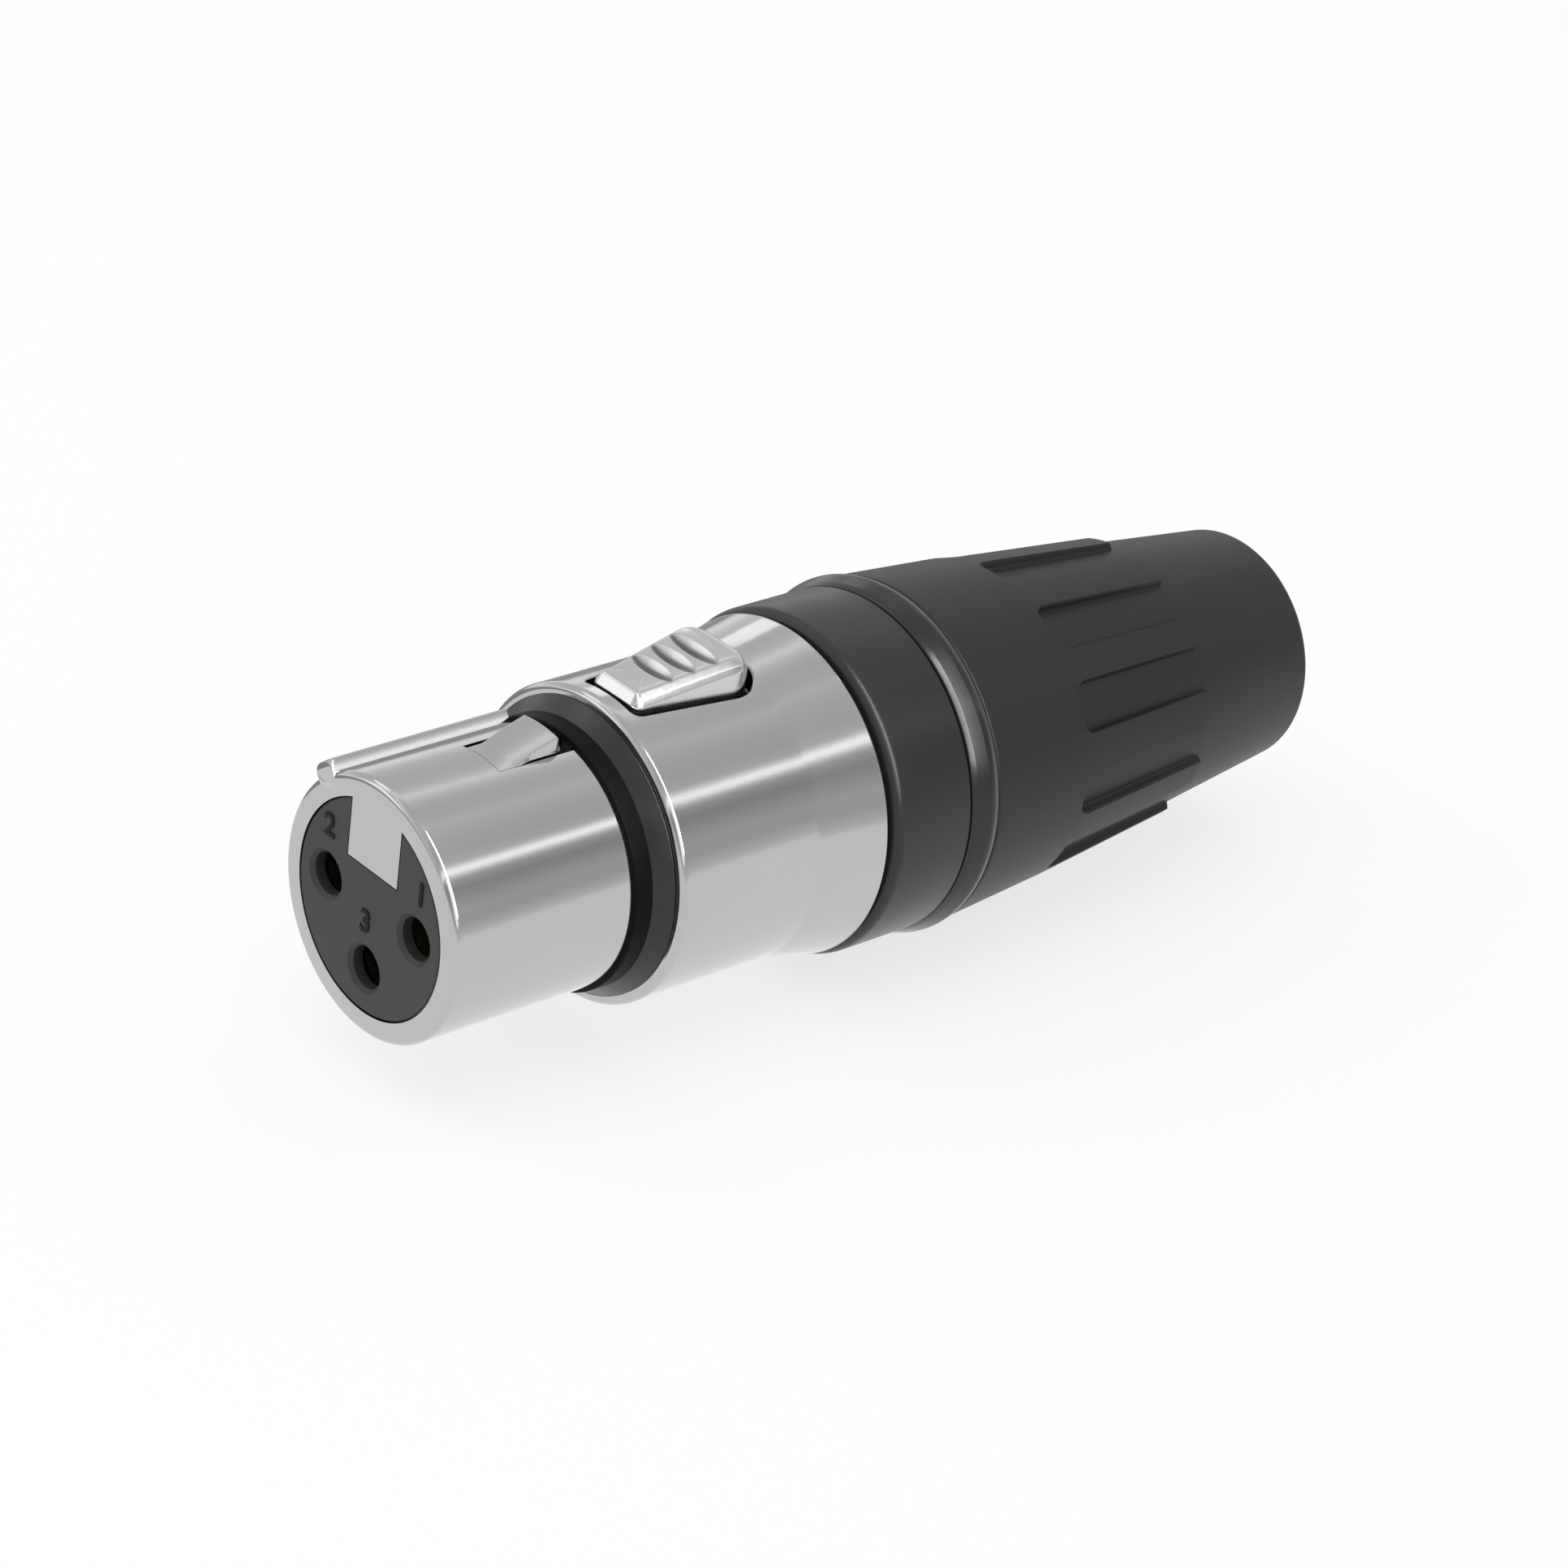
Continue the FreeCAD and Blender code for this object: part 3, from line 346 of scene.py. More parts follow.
def quarter_round(radius, steps=9):
    """A quarter circle on an edge: how far it is drawn in, R (1 - cos t), and how far it has
    run on, R (1 - sin t), as t goes from a right angle to 0."""
    turn = np.linspace(math.pi / 2, 0.0, steps)
    return radius * (1 - np.cos(turn)), radius * (1 - np.sin(turn))


def edge_fall(distance, radius):
    """How far a rounded edge has fallen at a distance from it: R - sqrt(R^2 - (R - d)^2)."""
    short = np.clip(radius - distance, 0.0, radius)
    return radius - np.sqrt(np.maximum(radius**2 - short**2, 0.0))


def level_corners(half, front, rear, height):
    """The corners of a level rectangle, in order round it."""
    plan = ((-half, front), (half, front), (half, rear), (-half, rear))
    return np.array([(x, y, height) for x, y in plan])


def ring_angles(columns):
    """Even angles once round the axis, without the closing one."""
    return np.arange(columns) * TURN / columns


def resampled(points, counts, corners):
    """A closed loop with a set number of even steps between each two of its corner points."""
    parts = []
    for count, first, last in zip(counts, corners, corners[1:] + corners[:1]):
        last = last if last > first else last + len(points)
        run = points[np.arange(first, last + 1) % len(points)]
        walked = np.concatenate(([0.0], np.cumsum(np.linalg.norm(np.diff(run, axis=0), axis=1))))
        wanted = np.linspace(0.0, walked[-1], count, endpoint=False)
        parts.append(np.stack([np.interp(wanted, walked, run[:, axis]) for axis in range(2)], axis=1))
    return np.vstack(parts)


class Skin:
    """Patches of one piece's surface, welded where their edges meet."""

    def __init__(self):
        self.points = []
        self.faces = []
        self.count = 0

    def add(self, points, faces):
        """Adds points and the faces between them."""
        self.points.append(np.asarray(points, float).reshape(-1, 3))
        self.faces.extend((np.asarray(face) + self.count).tolist() for face in faces)
        self.count += len(self.points[-1])

    def grid(self, points, wrap_rows=False, wrap_columns=False, keep=None):
        """Adds a grid of points as quads. keep is false where a cell is left open."""
        rows, columns = points.shape[:2]
        row = np.arange(rows if wrap_rows else rows - 1)[:, None]
        column = np.arange(columns if wrap_columns else columns - 1)[None, :]
        here, below, right = row * columns, (row + 1) % rows * columns, (column + 1) % columns
        quads = np.stack((here + column, here + right, below + right, below + column), axis=-1)
        quads = quads[keep] if keep is not None else quads.reshape(-1, 4)
        self.points.append(points.reshape(-1, 3))
        self.faces.extend((quads + self.count).tolist())
        self.count += rows * columns

    def flat(self, *loops):
        """Fills the flat area inside the first loop and outside the others."""
        triangles = tessellate_polygon([[Vector(point) for point in loop] for loop in loops])
        self.add(np.vstack(loops), triangles)

    def piece(self, name):
        """The finished object: welded, faces outwards, smooth up to a set angle."""
        mesh = bpy.data.meshes.new(name)
        mesh.from_pydata(np.vstack(self.points).tolist(), [], self.faces)
        work = bmesh.new()
        work.from_mesh(mesh)
        bmesh.ops.remove_doubles(work, verts=work.verts, dist=WELD_DISTANCE)
        bmesh.ops.dissolve_degenerate(work, edges=work.edges, dist=WELD_DISTANCE)
        bmesh.ops.recalc_face_normals(work, faces=work.faces)
        work.to_mesh(mesh)
        work.free()
        mesh.polygons.foreach_set("use_smooth", np.ones(len(mesh.polygons), bool))
        mesh.set_sharp_from_angle(angle=SMOOTH_ANGLE)
        made = bpy.data.objects.new(name, mesh)
        bpy.context.scene.collection.objects.link(made)
        return made


def turned_piece(name, corners, columns, steps=8):
    """A closed outline of (radius, station, rounding) corners, carried once round the axis."""
    skin = Skin()
    points = turned_rows(rounded_outline(corners, steps), ring_angles(columns))
    skin.grid(points, wrap_rows=True, wrap_columns=True)
    return skin.piece(name)


def smoothstep(share):
    """0 up to 0, 1 from 1, and a smooth S between: 3t^2 - 2t^3."""
    share = np.clip(share, 0.0, 1.0)
    return share * share * (3 - 2 * share)


# Finishes

WHITE = (1.0, 1.0, 1.0, 1.0)
BLACK = (0.0, 0.0, 0.0, 1.0)
SHADE_SIZE = 9.0 * MM
SHADE_RANGE = (0.3, 0.7)
BUMP_STRENGTH = 0.3

# A finish's colour, roughness and the spread of that, metallic, the size and depth of its
# grain in millimetres, and how far its colour goes up and down.
FINISHES = {
    "nickel": ("nickel", 0.125, 0.02, 1.0, 0.25, 0.004, 0.012),
    "latch_nickel": ("latch_nickel", 0.2, 0.04, 1.0, 0.3, 0.01, 0.03),
    "insert_plastic": ("insert", 0.55, 0.06, 0.0, 0.15, 0.02, 0.05),
    # A darker, duller copy of insert_plastic for the numbers: painted shade.
    "numeral_plastic": ("numeral", 0.6, 0.06, 0.0, 0.15, 0.02, 0.05),
    "ring_rubber": ("rubber_ring", 0.3, 0.08, 0.0, 0.5, 0.03, 0.15),
    # A darker, less glossy copy of ring_rubber for the sleeve: painted shade.
    "sleeve_rubber": ("rubber_sleeve", 0.5, 0.08, 0.0, 0.5, 0.03, 0.15),
    "collar_plastic": ("collar", 0.22, 0.03, 0.0, 0.2, 0.004, 0.06),
    "ring_plastic": ("collar", 0.34, 0.04, 0.0, 0.2, 0.006, 0.06),
    "boot_rubber": ("boot", 0.46, 0.05, 0.0, 0.2, 0.02, 0.06),
    "contact_brass": ("brass", 0.25, 0.05, 1.0, 0.3, 0.01, 0.05),
    "chuck_plastic": ("chuck", 0.5, 0.05, 0.0, 0.3, 0.02, 0.04),
    "spring_steel": ("steel", 0.3, 0.05, 1.0, 0.3, 0.01, 0.05),
}
# The specular level of the duller finishes, and how much painted shade darkens two of them in their
# scallops and groove walls.
USUAL_GLOSS = 0.5
GLOSS = {
    "numeral_plastic": 0.2, "sleeve_rubber": 0.08, "collar_plastic": 0.4, "ring_plastic": 0.4,
    "boot_rubber": 0.36,
}
PAINTED_SHADE = {"latch_nickel": 0.8, "boot_rubber": 0.8}


def empty_tree(owner):
    """The node tree of a material or a world, emptied."""
    owner.use_nodes = True
    owner.node_tree.nodes.clear()
    return owner.node_tree


def node(tree, kind, inputs=None, **settings):
    """Adds a node. An input given as another node's output is linked, and any other value is set."""
    made = tree.nodes.new("ShaderNode" + kind)
    for name, value in settings.items():
        setattr(made, name, value)
    for socket, value in (inputs or {}).items():
        if isinstance(value, bpy.types.NodeSocket):
            tree.links.new(value, made.inputs[socket])
        else:
            made.inputs[socket].default_value = value
    return made


def finish(name):
    """A procedural finish on Object coordinates.

    A fine noise of the grain's size gives the bump and moves the roughness by its spread, and
    a wider noise moves the colour. For two finishes a stored point attribute mixes the colour
    towards black: painted shade in the button's scallops and on the boot's groove walls. Plain
    numbers stay on the shader's sockets.
    """
    tint_name, roughness, spread, metallic, grain, depth, shade = FINISHES[name]
    plain = getattr(bpy.context.scene.connector_colours, tint_name)
    material = bpy.data.materials.get(name) or bpy.data.materials.new(name)
    tree = empty_tree(material)
    place = node(tree, "TexCoord").outputs["Object"]
    noises = [node(tree, "TexNoise", {"Vector": place, "Scale": 1.0 / size, "Detail": detail})
              for size, detail in ((grain * MM, 3.0), (SHADE_SIZE, 2.0))]
    fine, wide = (noise.outputs["Fac"] for noise in noises)
    rough = node(tree, "MapRange", {
        "Value": fine, "To Min": roughness - spread, "To Max": roughness + spread})
    ramp = node(tree, "ValToRGB", {"Fac": wide})
    for stop, position, share in zip(ramp.color_ramp.elements, SHADE_RANGE, (1 - shade, 1 + shade)):
        stop.position = position
        stop.color = (*[min(1.0, channel * share) for channel in plain], 1.0)
    colour = ramp.outputs["Color"]
    # Painted shade: a stored point attribute mixes the colour towards black.
    if name in PAINTED_SHADE:
        recess = node(tree, "Attribute", attribute_name="recess").outputs["Fac"]
        share = node(tree, "Math", {0: recess, 1: PAINTED_SHADE[name]}, operation="MULTIPLY").outputs["Value"]
        colour = node(tree, "Mix", {0: share, 6: colour, 7: BLACK}, data_type="RGBA").outputs[2]
    bump = node(tree, "Bump", {"Height": fine, "Strength": BUMP_STRENGTH, "Distance": depth * MM})
    shader = node(tree, "BsdfPrincipled", {
        "Base Color": colour, "Metallic": metallic, "Roughness": rough.outputs["Result"],
        "Specular IOR Level": GLOSS.get(name, USUAL_GLOSS), "Normal": bump.outputs["Normal"],
    })
    node(tree, "OutputMaterial", {"Surface": shader.outputs["BSDF"]})
    return material


def settle(piece, body, slot, look, *nodes):
    """Gives a piece its finish, its body and the CAD nodes that it stands for."""
    piece.data.materials.clear()
    piece.data.materials.append(finish(look))
    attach(piece, body)
    if nodes:
        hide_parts(*nodes)


# Housing

# Steps of the outlines: round the barrel from the slot to the key, from the key back to the
# slot, over the slot, and round the bore.
BARREL_STEPS, GAP_STEPS, SLOT_STEPS, BORE_STEPS = 150, 12, 13, 145
# Rows of the body in millimetres, as first, end and step: along the window, and behind it.
WINDOW_ROWS, REAR_ROWS = (15.6, 27.2, 0.25), (27.35, 29.95, 0.25)
# Half the columns that the window's open rectangle takes, and the rings of points in it.
WINDOW_HALF_COLUMNS, WINDOW_RINGS = 18, 6
BORE_START = 0.1 * MM
# The thread's distance from the ring seat and from the spigot's end, and its rows' distance.
THREAD_START, THREAD_STOP, THREAD_STEP = 0.4 * MM, 0.5 * MM, 0.1 * MM
SPIGOT_CHAMFER = 0.3 * MM


def barrel_outline(sizes):
    """The barrel's outside in the XZ plane, from the slot's right side round to its left side
    and back over the slot: arcs of the barrel's circle, with the key ridge between them.

    Returns the points' angles, their radii with the key and without it, and how many of them,
    at the end, lie over the slot.
    """
    slot_angle = math.asin(sizes.slot_half_width / sizes.barrel_radius)
    key_angle = sizes.key_angle % TURN
    half = sizes.key_width / 2
    foot_angle = math.asin(half / sizes.barrel_radius)
    foot_height = math.sqrt(sizes.barrel_radius**2 - half**2)
    long_way = np.linspace(slot_angle, key_angle - foot_angle, BARREL_STEPS)
    short_way = np.linspace(key_angle + foot_angle, TURN - slot_angle, GAP_STEPS)
    over_slot = np.linspace(TURN - slot_angle, TURN + slot_angle, SLOT_STEPS)[1:-1]
    top = rounded_outline(
        [(-half, foot_height, 0), (-half, sizes.key_top, sizes.key_edge),
         (half, sizes.key_top, sizes.key_edge), (half, foot_height, 0)], 5)[1:-1]
    sine, cosine = math.sin(key_angle), math.cos(key_angle)
    ridge = top[:, 1:] * (sine, cosine) + top[:, :1] * (cosine, -sine)
    ridge_angles = np.arctan2(ridge[:, 0], ridge[:, 1]) % TURN
    angles = np.concatenate((long_way, ridge_angles, short_way, over_slot))
    plain = np.full(len(angles), sizes.barrel_radius)
    keyed = plain.copy()
    keyed[len(long_way):len(long_way) + len(ridge)] = np.linalg.norm(ridge, axis=1)
    return angles, keyed, plain, len(over_slot)


def add_barrel(skin, sizes):
    """The barrel outside: its outline carried along the axis, drawn in over the rounded front
    edge, and without the key behind the key's end. The slot's cells are left open."""
    angles, keyed, plain, over_slot = barrel_outline(sizes)
    drawn_in, edge_stations = quarter_round(sizes.nose_edge)
    stations = np.array([
        *edge_stations, sizes.slot_front, sizes.key_end, sizes.key_end,
        sizes.slot_rear, sizes.barrel_end])
    ridged = keyed - np.append(drawn_in, (0.0, 0.0))[:, None]
    points = round_points(np.vstack((ridged, plain, plain, plain)), stations[:, None], angles)
    keep = np.ones((len(stations) - 1, len(angles)), bool)
    keep[len(drawn_in):-1, -over_slot - 1:] = False
    skin.grid(points, wrap_columns=True, keep=keep)
    return points


def add_front(skin, sizes, outside):
    """The mating face round the bore and the tab, and the bore's wall with the tab in it."""
    half = sizes.tab_half_width
    tab_angle = math.asin(half / sizes.barrel_bore)
    bore = round_points(sizes.barrel_bore, 0.0, np.linspace(tab_angle, TURN - tab_angle, BORE_STEPS))
    loop = np.vstack((bore, [(-half, 0.0, sizes.tab_bottom), (half, 0.0, sizes.tab_bottom)]))
    rear = loop + (0.0, sizes.web_end, 0.0)
    skin.flat(outside[0], loop)
    skin.grid(np.stack((loop, rear)), wrap_columns=True)
    return rear


def add_channel(skin, sizes):
    """The slot's walls down to the latch channel, and the channel's floor, sides and roof."""
    half = sizes.slot_half_width
    top = math.sqrt(sizes.barrel_radius**2 - half**2)
    floor, roof = sizes.channel_floor, sizes.channel_roof
    front, key, rear, end = sizes.slot_front, sizes.key_end, sizes.slot_rear, sizes.web_end
    side = [(front, floor), (end, floor), (end, roof), (rear, roof),
            (rear, top), (key, top), (front, top)]
    for x in (-half, half):
        skin.flat([(x, *place) for place in side])
    arc_angles = math.asin(half / sizes.barrel_radius) * np.linspace(1.0, -1.0, SLOT_STEPS)
    for start, height in ((front, floor), (rear, roof)):
        arc = round_points(sizes.barrel_radius, start, arc_angles)
        skin.flat(np.vstack(([(-half, start, height), (half, start, height)], arc)))
        skin.flat(level_corners(half, start, end, height))
    return np.array([(-half, end, floor), (half, end, floor), (half, end, roof), (-half, end, roof)])


def window_loop(sizes, grow):
    """The button window's plan as (x, station) points, with as many even steps on its ends and
    sides as the open rectangle of cells has, starting at the middle of its front left corner."""
    steps = 32
    front, rear = sizes.window_front - grow, sizes.window_rear + grow
    narrow, wide = sizes.window_front_half + grow, sizes.window_rear_half + grow
    small, large = sizes.window_front_corner + grow, sizes.window_rear_corner + grow
    corners = [
        (-narrow, front, small), (narrow, front, small), (wide, rear, large), (-wide, rear, large)]
    outline = rounded_outline(corners, steps)
    across, along = 2 * WINDOW_HALF_COLUMNS, window_rows(sizes)[1]
    middles = [index * (steps + 1) + steps // 2 for index in range(4)]
    return resampled(outline, (across, along, across, along), middles)


def window_rows(sizes):
    """The stations of the body's rows along the window, with three more where its flare starts,
    how many steps they make, and the slope and half length of the flare's bend."""
    slope = (sizes.flare_radius - sizes.body_radius) / (sizes.flare_end - sizes.flare_start)
    bend = sizes.flare_bend * slope / 2
    bend_stations = sizes.flare_start + bend * np.array((-1.0, 0.0, 1.0))
    stations = np.sort(np.concatenate((np.arange(*WINDOW_ROWS) * MM, bend_stations)))
    return stations, len(stations) - 1, slope, bend


def body_profile(sizes):
    """The body's outside as (radius, station) points: a rounded front edge, a cylinder, a flare
    and a rounded rear edge. Returns it with the row where the window's cells start.

    With p the distance past the flare's start, s its slope and b half its bend's length, the
    radius rises by s (p + b)^2 / 4b in the bend and by s p behind it.
    """
    drawn_in, run = quarter_round(sizes.body_edge)
    front_edge = np.stack((sizes.body_radius - drawn_in, sizes.barrel_end + run), axis=1)
    stations, _, slope, bend = window_rows(sizes)
    stations = np.concatenate((stations, np.arange(*REAR_ROWS) * MM))
    past = stations - sizes.flare_start
    rise = np.where(past < bend, slope * np.maximum(past + bend, 0.0)**2 / (4 * bend), past * slope)
    straight = np.stack((sizes.body_radius + rise, stations), axis=1)
    rear_edge = sizes.flare_edge * np.array([(0.0, -1.0), (-0.35, -0.3), (-1.0, 0.0)])
    rear_edge += (sizes.flare_radius, sizes.flare_end)
    return np.vstack((front_edge, straight, rear_edge)), len(front_edge)


def add_body_wall(skin, sizes, profile, first_row, chamfer):
    """A turned wall with the button window in it.

    The wall is a grid of profile rows round the axis. Inside a rectangle of cells that is left
    open, rings of points run from the rectangle's edge to the window's plan, in even shares of
    angle and station. The radius follows the profile, and x = r sin(a) gives a plan's angle.
    """
    columns, half_columns = sizes.columns, WINDOW_HALF_COLUMNS
    across, along = 2 * half_columns, window_rows(sizes)[1]
    rows = profile[first_row:first_row + along + 1]
    keep = np.ones((len(profile) - 1, columns), bool)
    keep[first_row:first_row + along, np.arange(-half_columns, half_columns) % columns] = False
    skin.grid(turned_rows(profile, ring_angles(columns)), wrap_columns=True, keep=keep)
    span = np.arange(-half_columns, half_columns + 1) * TURN / columns
    stations = rows[:, 1]
    edge_angles = np.concatenate((
        span[:-1], np.full(along, span[-1]), span[:0:-1], np.full(along, span[0])))
    edge_stations = np.concatenate((
        np.full(across, stations[0]), stations[:-1], np.full(across, stations[-1]), stations[:0:-1]))

    def radius_at(station):
        return np.interp(station, stations, rows[:, 0])

    plan = window_loop(sizes, chamfer)
    plan_angles = np.arcsin(plan[:, 0] / radius_at(plan[:, 1]))
    share = np.linspace(0.0, 1.0, WINDOW_RINGS)[:, None]
    ring_stations = (1 - share) * edge_stations + share * plan[:, 1]
    turns = (1 - share) * edge_angles + share * plan_angles
    rings = round_points(radius_at(ring_stations), ring_stations, turns)
    skin.grid(rings, wrap_columns=True)
    last = rings[-1]
    if chamfer:
        plan = window_loop(sizes, 0.0)
        radii = radius_at(plan[:, 1]) - chamfer
        sunk = round_points(radii, plan[:, 1], np.arcsin(plan[:, 0] / radii))
        skin.grid(np.stack((last, sunk)), wrap_columns=True)
        last = sunk
    return last


def add_spigot(skin, sizes):
    """The body's rear face, the ring seat and the threaded spigot.

    The thread is r = R - d |2 frac(s / pitch - a / turn) - 1| with a right-hand lead, and it
    fades in and out over one pitch at its ends.
    """
    angles = ring_angles(sizes.columns)
    start, stop = sizes.seat_end + THREAD_START, sizes.spigot_end - THREAD_STOP
    stations = np.arange(start, stop, THREAD_STEP)[:, None]
    phase = (stations / sizes.thread_pitch - angles / TURN) % 1.0
    ends = np.minimum(stations - start, stop - stations) / sizes.thread_pitch
    thread = sizes.thread_radius - sizes.thread_depth * np.abs(2 * phase - 1) * smoothstep(ends)
    before = [
        (sizes.flare_radius - sizes.flare_edge, sizes.flare_end),
        (sizes.seat_radius, sizes.flare_end),
        (sizes.seat_radius, sizes.seat_end), (sizes.thread_radius, sizes.seat_end)]
    after = [
        (sizes.thread_radius, sizes.spigot_end - SPIGOT_CHAMFER),
        (sizes.thread_radius - SPIGOT_CHAMFER, sizes.spigot_end),
        (sizes.body_bore, sizes.spigot_end)]
    threaded = round_points(thread, stations, angles)
    rows = np.vstack((turned_rows(before, angles), threaded, turned_rows(after, angles)))
    skin.grid(rows, wrap_columns=True)


class CONNECTOR_OT_housing(Operator):
    """Make the plated housing: barrel, key, tab, latch slot, body with its window and spigot"""

    bl_idname = "connector.housing"
    bl_label = "Housing"

    def execute(self, context):
        sizes = context.scene.connector_housing
        skin = Skin()
        outside = add_barrel(skin, sizes)
        bore_end = add_front(skin, sizes, outside)
        channel_end = add_channel(skin, sizes)
        outer_hole = add_body_wall(skin, sizes, *body_profile(sizes), sizes.window_break)
        rows, steps, _, _ = window_rows(sizes)
        inside = np.linspace(sizes.web_end + BORE_START, rows[-1], steps + 1)
        stations = (sizes.web_end, *inside, sizes.spigot_end)
        bore = np.array([(sizes.body_bore, station) for station in stations])
        inner_hole = add_body_wall(skin, sizes, bore, 1, 0.0)
        skin.grid(np.stack((outer_hole, inner_hole)), wrap_columns=True)
        add_spigot(skin, sizes)
        angles = ring_angles(sizes.columns)
        body_rim = round_points(sizes.body_radius - sizes.body_edge, sizes.barrel_end, angles)
        skin.flat(body_rim, outside[-1])
        skin.flat(round_points(sizes.body_bore, sizes.web_end, angles), bore_end, channel_end)
        settle(skin.piece("housing_shell"), "housing", "nickel", "nickel", "shell")
        return {"FINISHED"}


# Latch

NOSE_ROWS, ARM_COLUMNS, EYE_STEPS = 24, 25, 48
# How far the off-centre front of the nose reaches, and over what length it then fades.
NOSE_SKEW, NOSE_FADE = 1.2 * MM, 1.3 * MM
# Where the nose's long edges start to be rounded, and over what length.
EDGE_START, EDGE_FADE = 0.5 * MM, 1.5 * MM
CREST_SOFTNESS = 0.3 * MM
# How soft the inner edge of the button's bevels is: in front, and how much more at the sides.
FRONT_SOFTNESS, SIDE_SOFTNESS = 0.04 * MM, 0.2 * MM
FRONT_RIM = 0.05 * MM
# The button's rows round its front corners, between, and round its rear corners, and its columns.
BUTTON_ROWS, BUTTON_COLUMNS = (21, 110, 25), 73
# How much closer the rows are at the ends, how far past the front corners those rows go, and the
# angle whose sine spaces the columns.
ROW_CROWDING, FRONT_REACH, WIDEST = 1.7, 1.2, math.radians(81)
# The scallops' number, and for the painted shade in them how quickly it fades at their ends, and its
# shift and spread.
SCALLOPS, HOLLOW_EDGE, HOLLOW_SHIFT, HOLLOW_SPREAD = 3, 3.0, 0.1, 0.48
# How far the nose's foot lies under the barrel's surface, how far behind the button's front the
# skirt starts, and how far the rib reaches into the skirt.
FOOT_DROP, SKIRT_SETBACK, RIB_OVERLAP = 0.1 * MM, 0.1 * MM, 0.1 * MM
SKIRT_FRONT_CORNER, SKIRT_REAR_CORNER = 0.5 * MM, 1.5 * MM
SPRING_FOOT, SPRING_THICKNESS = 2.0 * MM, 0.2 * MM


def add_lever_arm(skin, sizes):
    """Nose and arm: loops across the lever, one for each station, joined lengthwise.

    A loop runs over the top and back along the flat underside. On the nose the top is
    z = sqrt(r^2 - x^2), less the fall of its rounded long edges, and on the arm it is level.
    The nose's front is a little off centre, and its two sides run smoothly to the arm's.
    """
    spread = np.sin(np.linspace(-1, 1, ARM_COLUMNS) * math.pi / 2)
    barrel = bpy.context.scene.connector_housing.barrel_radius
    drawn_in, short_of = (part[-2::-1] for part in quarter_round(sizes.edge, 5))
    stations = np.concatenate((
        [sizes.nose_front],
        np.linspace(sizes.nose_front + sizes.nose_flat, sizes.nose_rear - sizes.edge, NOSE_ROWS),
        sizes.nose_rear - short_of,
        [sizes.nose_foot, sizes.nose_foot, sizes.pin_station]))[:, None]
    radii = np.concatenate((
        [barrel], np.linspace(barrel, sizes.nose_top, NOSE_ROWS), sizes.nose_top - drawn_in,
        [barrel - FOOT_DROP, 0.0, 0.0]))[:, None]
    behind = stations - sizes.nose_front
    ahead = 1 - smoothstep((behind - NOSE_SKEW) / NOSE_FADE)
    left, right = (sizes.half_width + (side - sizes.half_width) * ahead
                   for side in (sizes.nose_left, sizes.nose_right))
    x = np.where(spread < 0, left * spread, right * spread)
    rounded = sizes.nose_edge * smoothstep((behind - EDGE_START) / EDGE_FADE)
    fall = edge_fall(np.minimum(x + left, right - x), np.maximum(rounded, 1e-6))
    top = np.where(radii > 0, np.sqrt(np.maximum(radii**2 - x**2, 0.0)) - fall, sizes.arm_top)
    under = np.full(right.shape, sizes.arm_bottom)
    z = np.hstack((top, under, under))
    points = np.stack((np.hstack((x, right, -left)), np.broadcast_to(stations, z.shape), z), axis=-1)
    skin.grid(points, wrap_columns=True)
    skin.flat(points[0])
    skin.flat(points[-1])


def add_eye(skin, sizes):
    """The eye round the pin: a ring's outline (radius, x) carried round the pin's centre."""
    half = sizes.half_width
    radii = np.array([sizes.eye_bore, sizes.eye_radius, sizes.eye_radius, sizes.eye_bore])[:, None]
    angles = ring_angles(EYE_STEPS)
    y = sizes.pin_station + radii * np.sin(angles)
    z = sizes.pin_height + radii * np.cos(angles)
    x = np.broadcast_to(np.array([-half, -half, half, half])[:, None], y.shape)
    skin.grid(np.stack((x, y, z), axis=-1), wrap_rows=True, wrap_columns=True)


def tapered_half_width(sizes, stations):
    """Half the button's width where its corners are left square: an even taper."""
    share = (stations - sizes.button_front) / (sizes.button_rear - sizes.button_front)
    return sizes.button_front_half + (sizes.button_rear_half - sizes.button_front_half) * share


def button_half_width(sizes, stations):
    """Half the button's width: the taper, drawn in over each rounded corner."""
    return (tapered_half_width(sizes, stations)
            - edge_fall(stations - sizes.button_front, sizes.corner_front)
            - edge_fall(sizes.button_rear - stations, sizes.corner_rear))


def button_edge(sizes, x, stations):
    """Distance in plan from a point to the button's edge, and how squarely it faces the front.

    The plan is a rounded box that widens to the rear. With p the distances from the centre of
    the nearer corner's arc, the distance is R - |max(p, 0)| - min(max(p), 0), and the share of
    p that points forwards, squared, says how much of the front's bevel a point takes.
    """
    ahead = stations < (sizes.button_front + sizes.button_rear) / 2
    radius = np.where(ahead, sizes.corner_front, sizes.corner_rear)
    along = np.where(ahead, sizes.button_front - stations, stations - sizes.button_rear) + radius
    across = np.abs(x) - (tapered_half_width(sizes, stations) - radius)
    over_along, over_across = np.maximum(along, 0.0), np.maximum(across, 0.0)
    reach = np.hypot(over_along, over_across)
    distance = radius - reach - np.minimum(np.maximum(along, across), 0.0)
    corner = over_along**2 / np.maximum(reach, 1e-9)**2
    forward = np.where((over_along > 0) & (over_across > 0), corner, (along > across).astype(float))
    return np.maximum(distance, 0.0), forward * ahead


